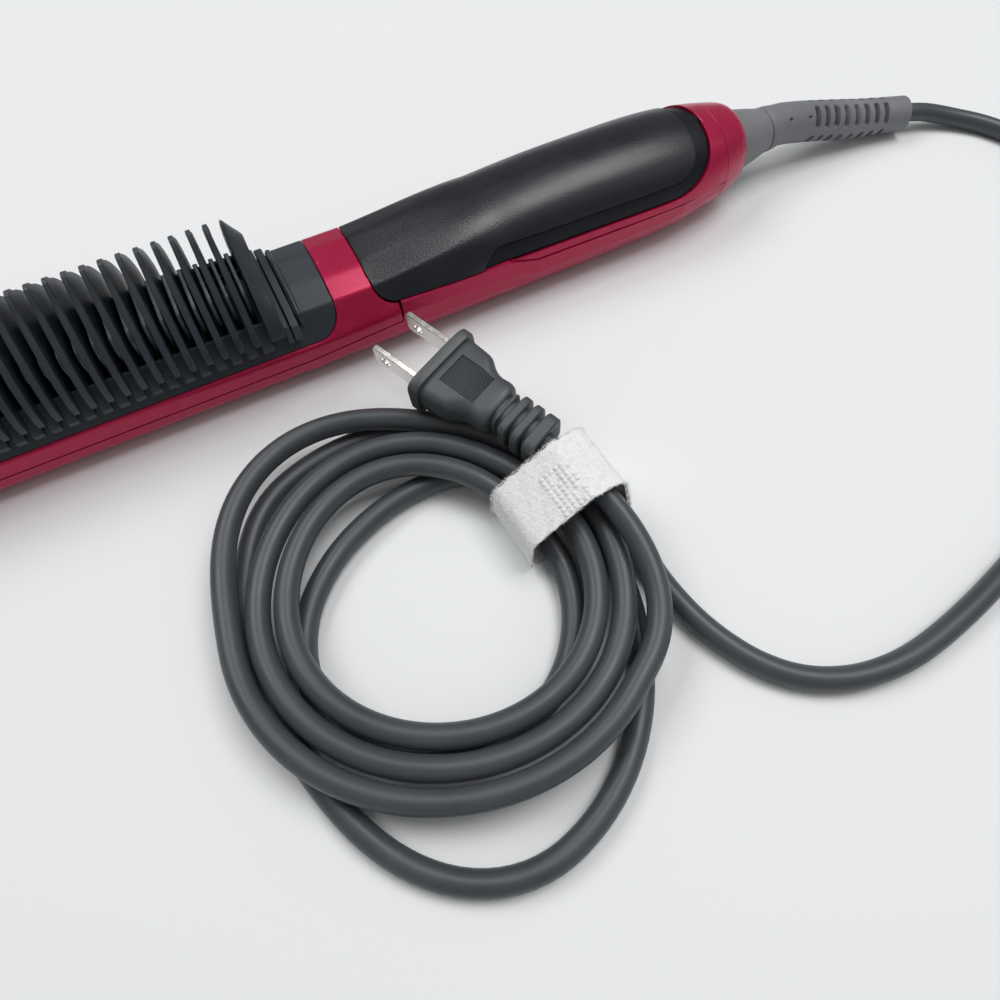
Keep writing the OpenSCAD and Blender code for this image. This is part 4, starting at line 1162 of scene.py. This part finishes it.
def add_patch(bag, place, outer):
    """Woven patch across the sloping top: rows of small raised pads with a few left out."""
    for i in range(PATCH_COLS):
        for j in range(PATCH_ROWS):
            k, y = PATCH_FROM[0] + PATCH_STEPS[0] * i, PATCH_FROM[1] + PATCH_STEPS[1] * j
            if rng.random() < PATCH_GAPS:
                continue
            (x0, z0), (x1, z1) = outer[k - 1], outer[k + 1]
            along = Vector((x1 - x0, 0, z1 - z0)).normalized()
            up = Vector((along.z, 0, -along.x))
            c = Vector((outer[k][0], y, outer[k][1]))
            bag.grid([[place @ (c + along * a * g * 1.1 + Vector((0, b * g, 0)) + up * h)
                       for a, b in PAD_CORNERS] for h, g in PAD_RINGS], wrap=True)
            top = len(bag.points) - len(PAD_CORNERS)
            bag.faces.append((top, top + 1, top + 2, top + 3))


def add_fibres(bag, place, outer, mid):
    """Loose fibres along the edges and over the top, few on the patch."""
    half = TIE_L / 2
    for _ in range(FIBRES):
        k = rng.randrange(len(outer))
        x, z = outer[k]
        if z < 1.5:
            continue
        at_edge = rng.random() < 0.5
        y = math.copysign(half - 0.1, rng.random() - 0.5) if at_edge else rng.uniform(-half, half)
        if not at_edge and 44 < k < 56 and y < 3 and rng.random() < 0.8:
            continue
        out = Vector((x - mid[0], 0, z - mid[1])).normalized() * rng.uniform(0.3, 1)
        lean_x = rng.uniform(-1, 1)
        lean_y = math.copysign(1, y) * rng.uniform(0.4, 1.4) if at_edge else rng.uniform(-1, 1)
        heading = (out + Vector((lean_x, lean_y, rng.uniform(-0.6, 0.6)))).normalized()
        length = rng.uniform(0.35, 1.1) if at_edge else rng.uniform(0.25, 0.6)
        side = Vector((0.045, 0, 0.03)) if abs(heading.x) < 0.7 else Vector((0, 0.045, 0.03))
        root = Vector((x, y, z - 0.1))
        tip = root + heading * length
        tip.z = max(0.1, tip.z)
        start = len(bag.points)
        bag.points += [place @ p for p in (root - side, root + side, tip)]
        bag.faces.append((start, start + 1, start + 2))


def make_tie():
    place = (Matrix.Translation((COIL_C[0] + TIE_R * cosd(TIE_AT), COIL_C[1] + TIE_R * sind(TIE_AT), 0))
             @ Matrix.Rotation(math.radians(TIE_AT), 4, "Z"))
    outer = tie_loop(TIE_CORNER + STRAP_T)
    mid = center(outer)
    bag = Bag()
    bag.grid([[place @ p for p in row] for row in strap_rows(outer, mid)], wrap=True)
    add_patch(bag, place, outer)
    add_fibres(bag, place, outer, mid)
    return bag.add("tie", "cord_tie", sharp=60)


for make in (make_head_frame, make_tail_frame, make_tail_ring, make_neck, make_grip, make_trim, make_comb,
             make_blades, make_bulb):
    make()
relief = make_relief()
plug = make_plug()
prongs = make_plug_blades()
tie = make_tie()
[c * MM for c in ROUTE[0]]
[list(p * MM) for p in cord_path]

# Floor and light, in metres and watts
FLOOR_HALF = 6.0
LAMPS = [("key", (-0.5, 0.75, 1.3), (1.0, 0.7), 9.5), ("overhead", (0.55, 0.0, 1.4), (0.8, 0.8), 11),
         ("fill", (0.9, -0.6, 1.2), (1.2, 1.2), 2)]


def make_floor():
    mesh = bpy.data.meshes.new("floor")
    s = FLOOR_HALF
    mesh.from_pydata([(-s, -s, 0), (s, -s, 0), (s, s, 0), (-s, s, 0)], [], [(0, 1, 2, 3)])
    floor = bpy.data.objects.new("floor", mesh)
    scene.collection.objects.link(floor)
    mesh.materials.append(Nodes("floor_paint", (0.82, 0.832, 0.836), 0.6).mat)


def make_world():
    world = bpy.data.worlds.new("world")
    scene.world = world
    world.use_nodes = True
    background = world.node_tree.nodes["Background"]
    background.inputs["Color"].default_value = (0.97, 0.985, 1, 1)
    background.inputs["Strength"].default_value = 0.26


def make_lamp(name, at, size, power):
    """A lamp that faces the origin."""
    data = bpy.data.lights.new(name, "AREA")
    data.shape, data.size, data.size_y = "RECTANGLE", size[0], size[1]
    data.energy = power
    lamp = bpy.data.objects.new(name, data)
    scene.collection.objects.link(lamp)
    lamp.location = at
    lamp.rotation_euler = (Vector((0, 0, 0)) - Vector(at)).to_track_quat("-Z", "Y").to_euler()


make_floor()
make_world()
for lamp_facts in LAMPS:
    make_lamp(*lamp_facts)
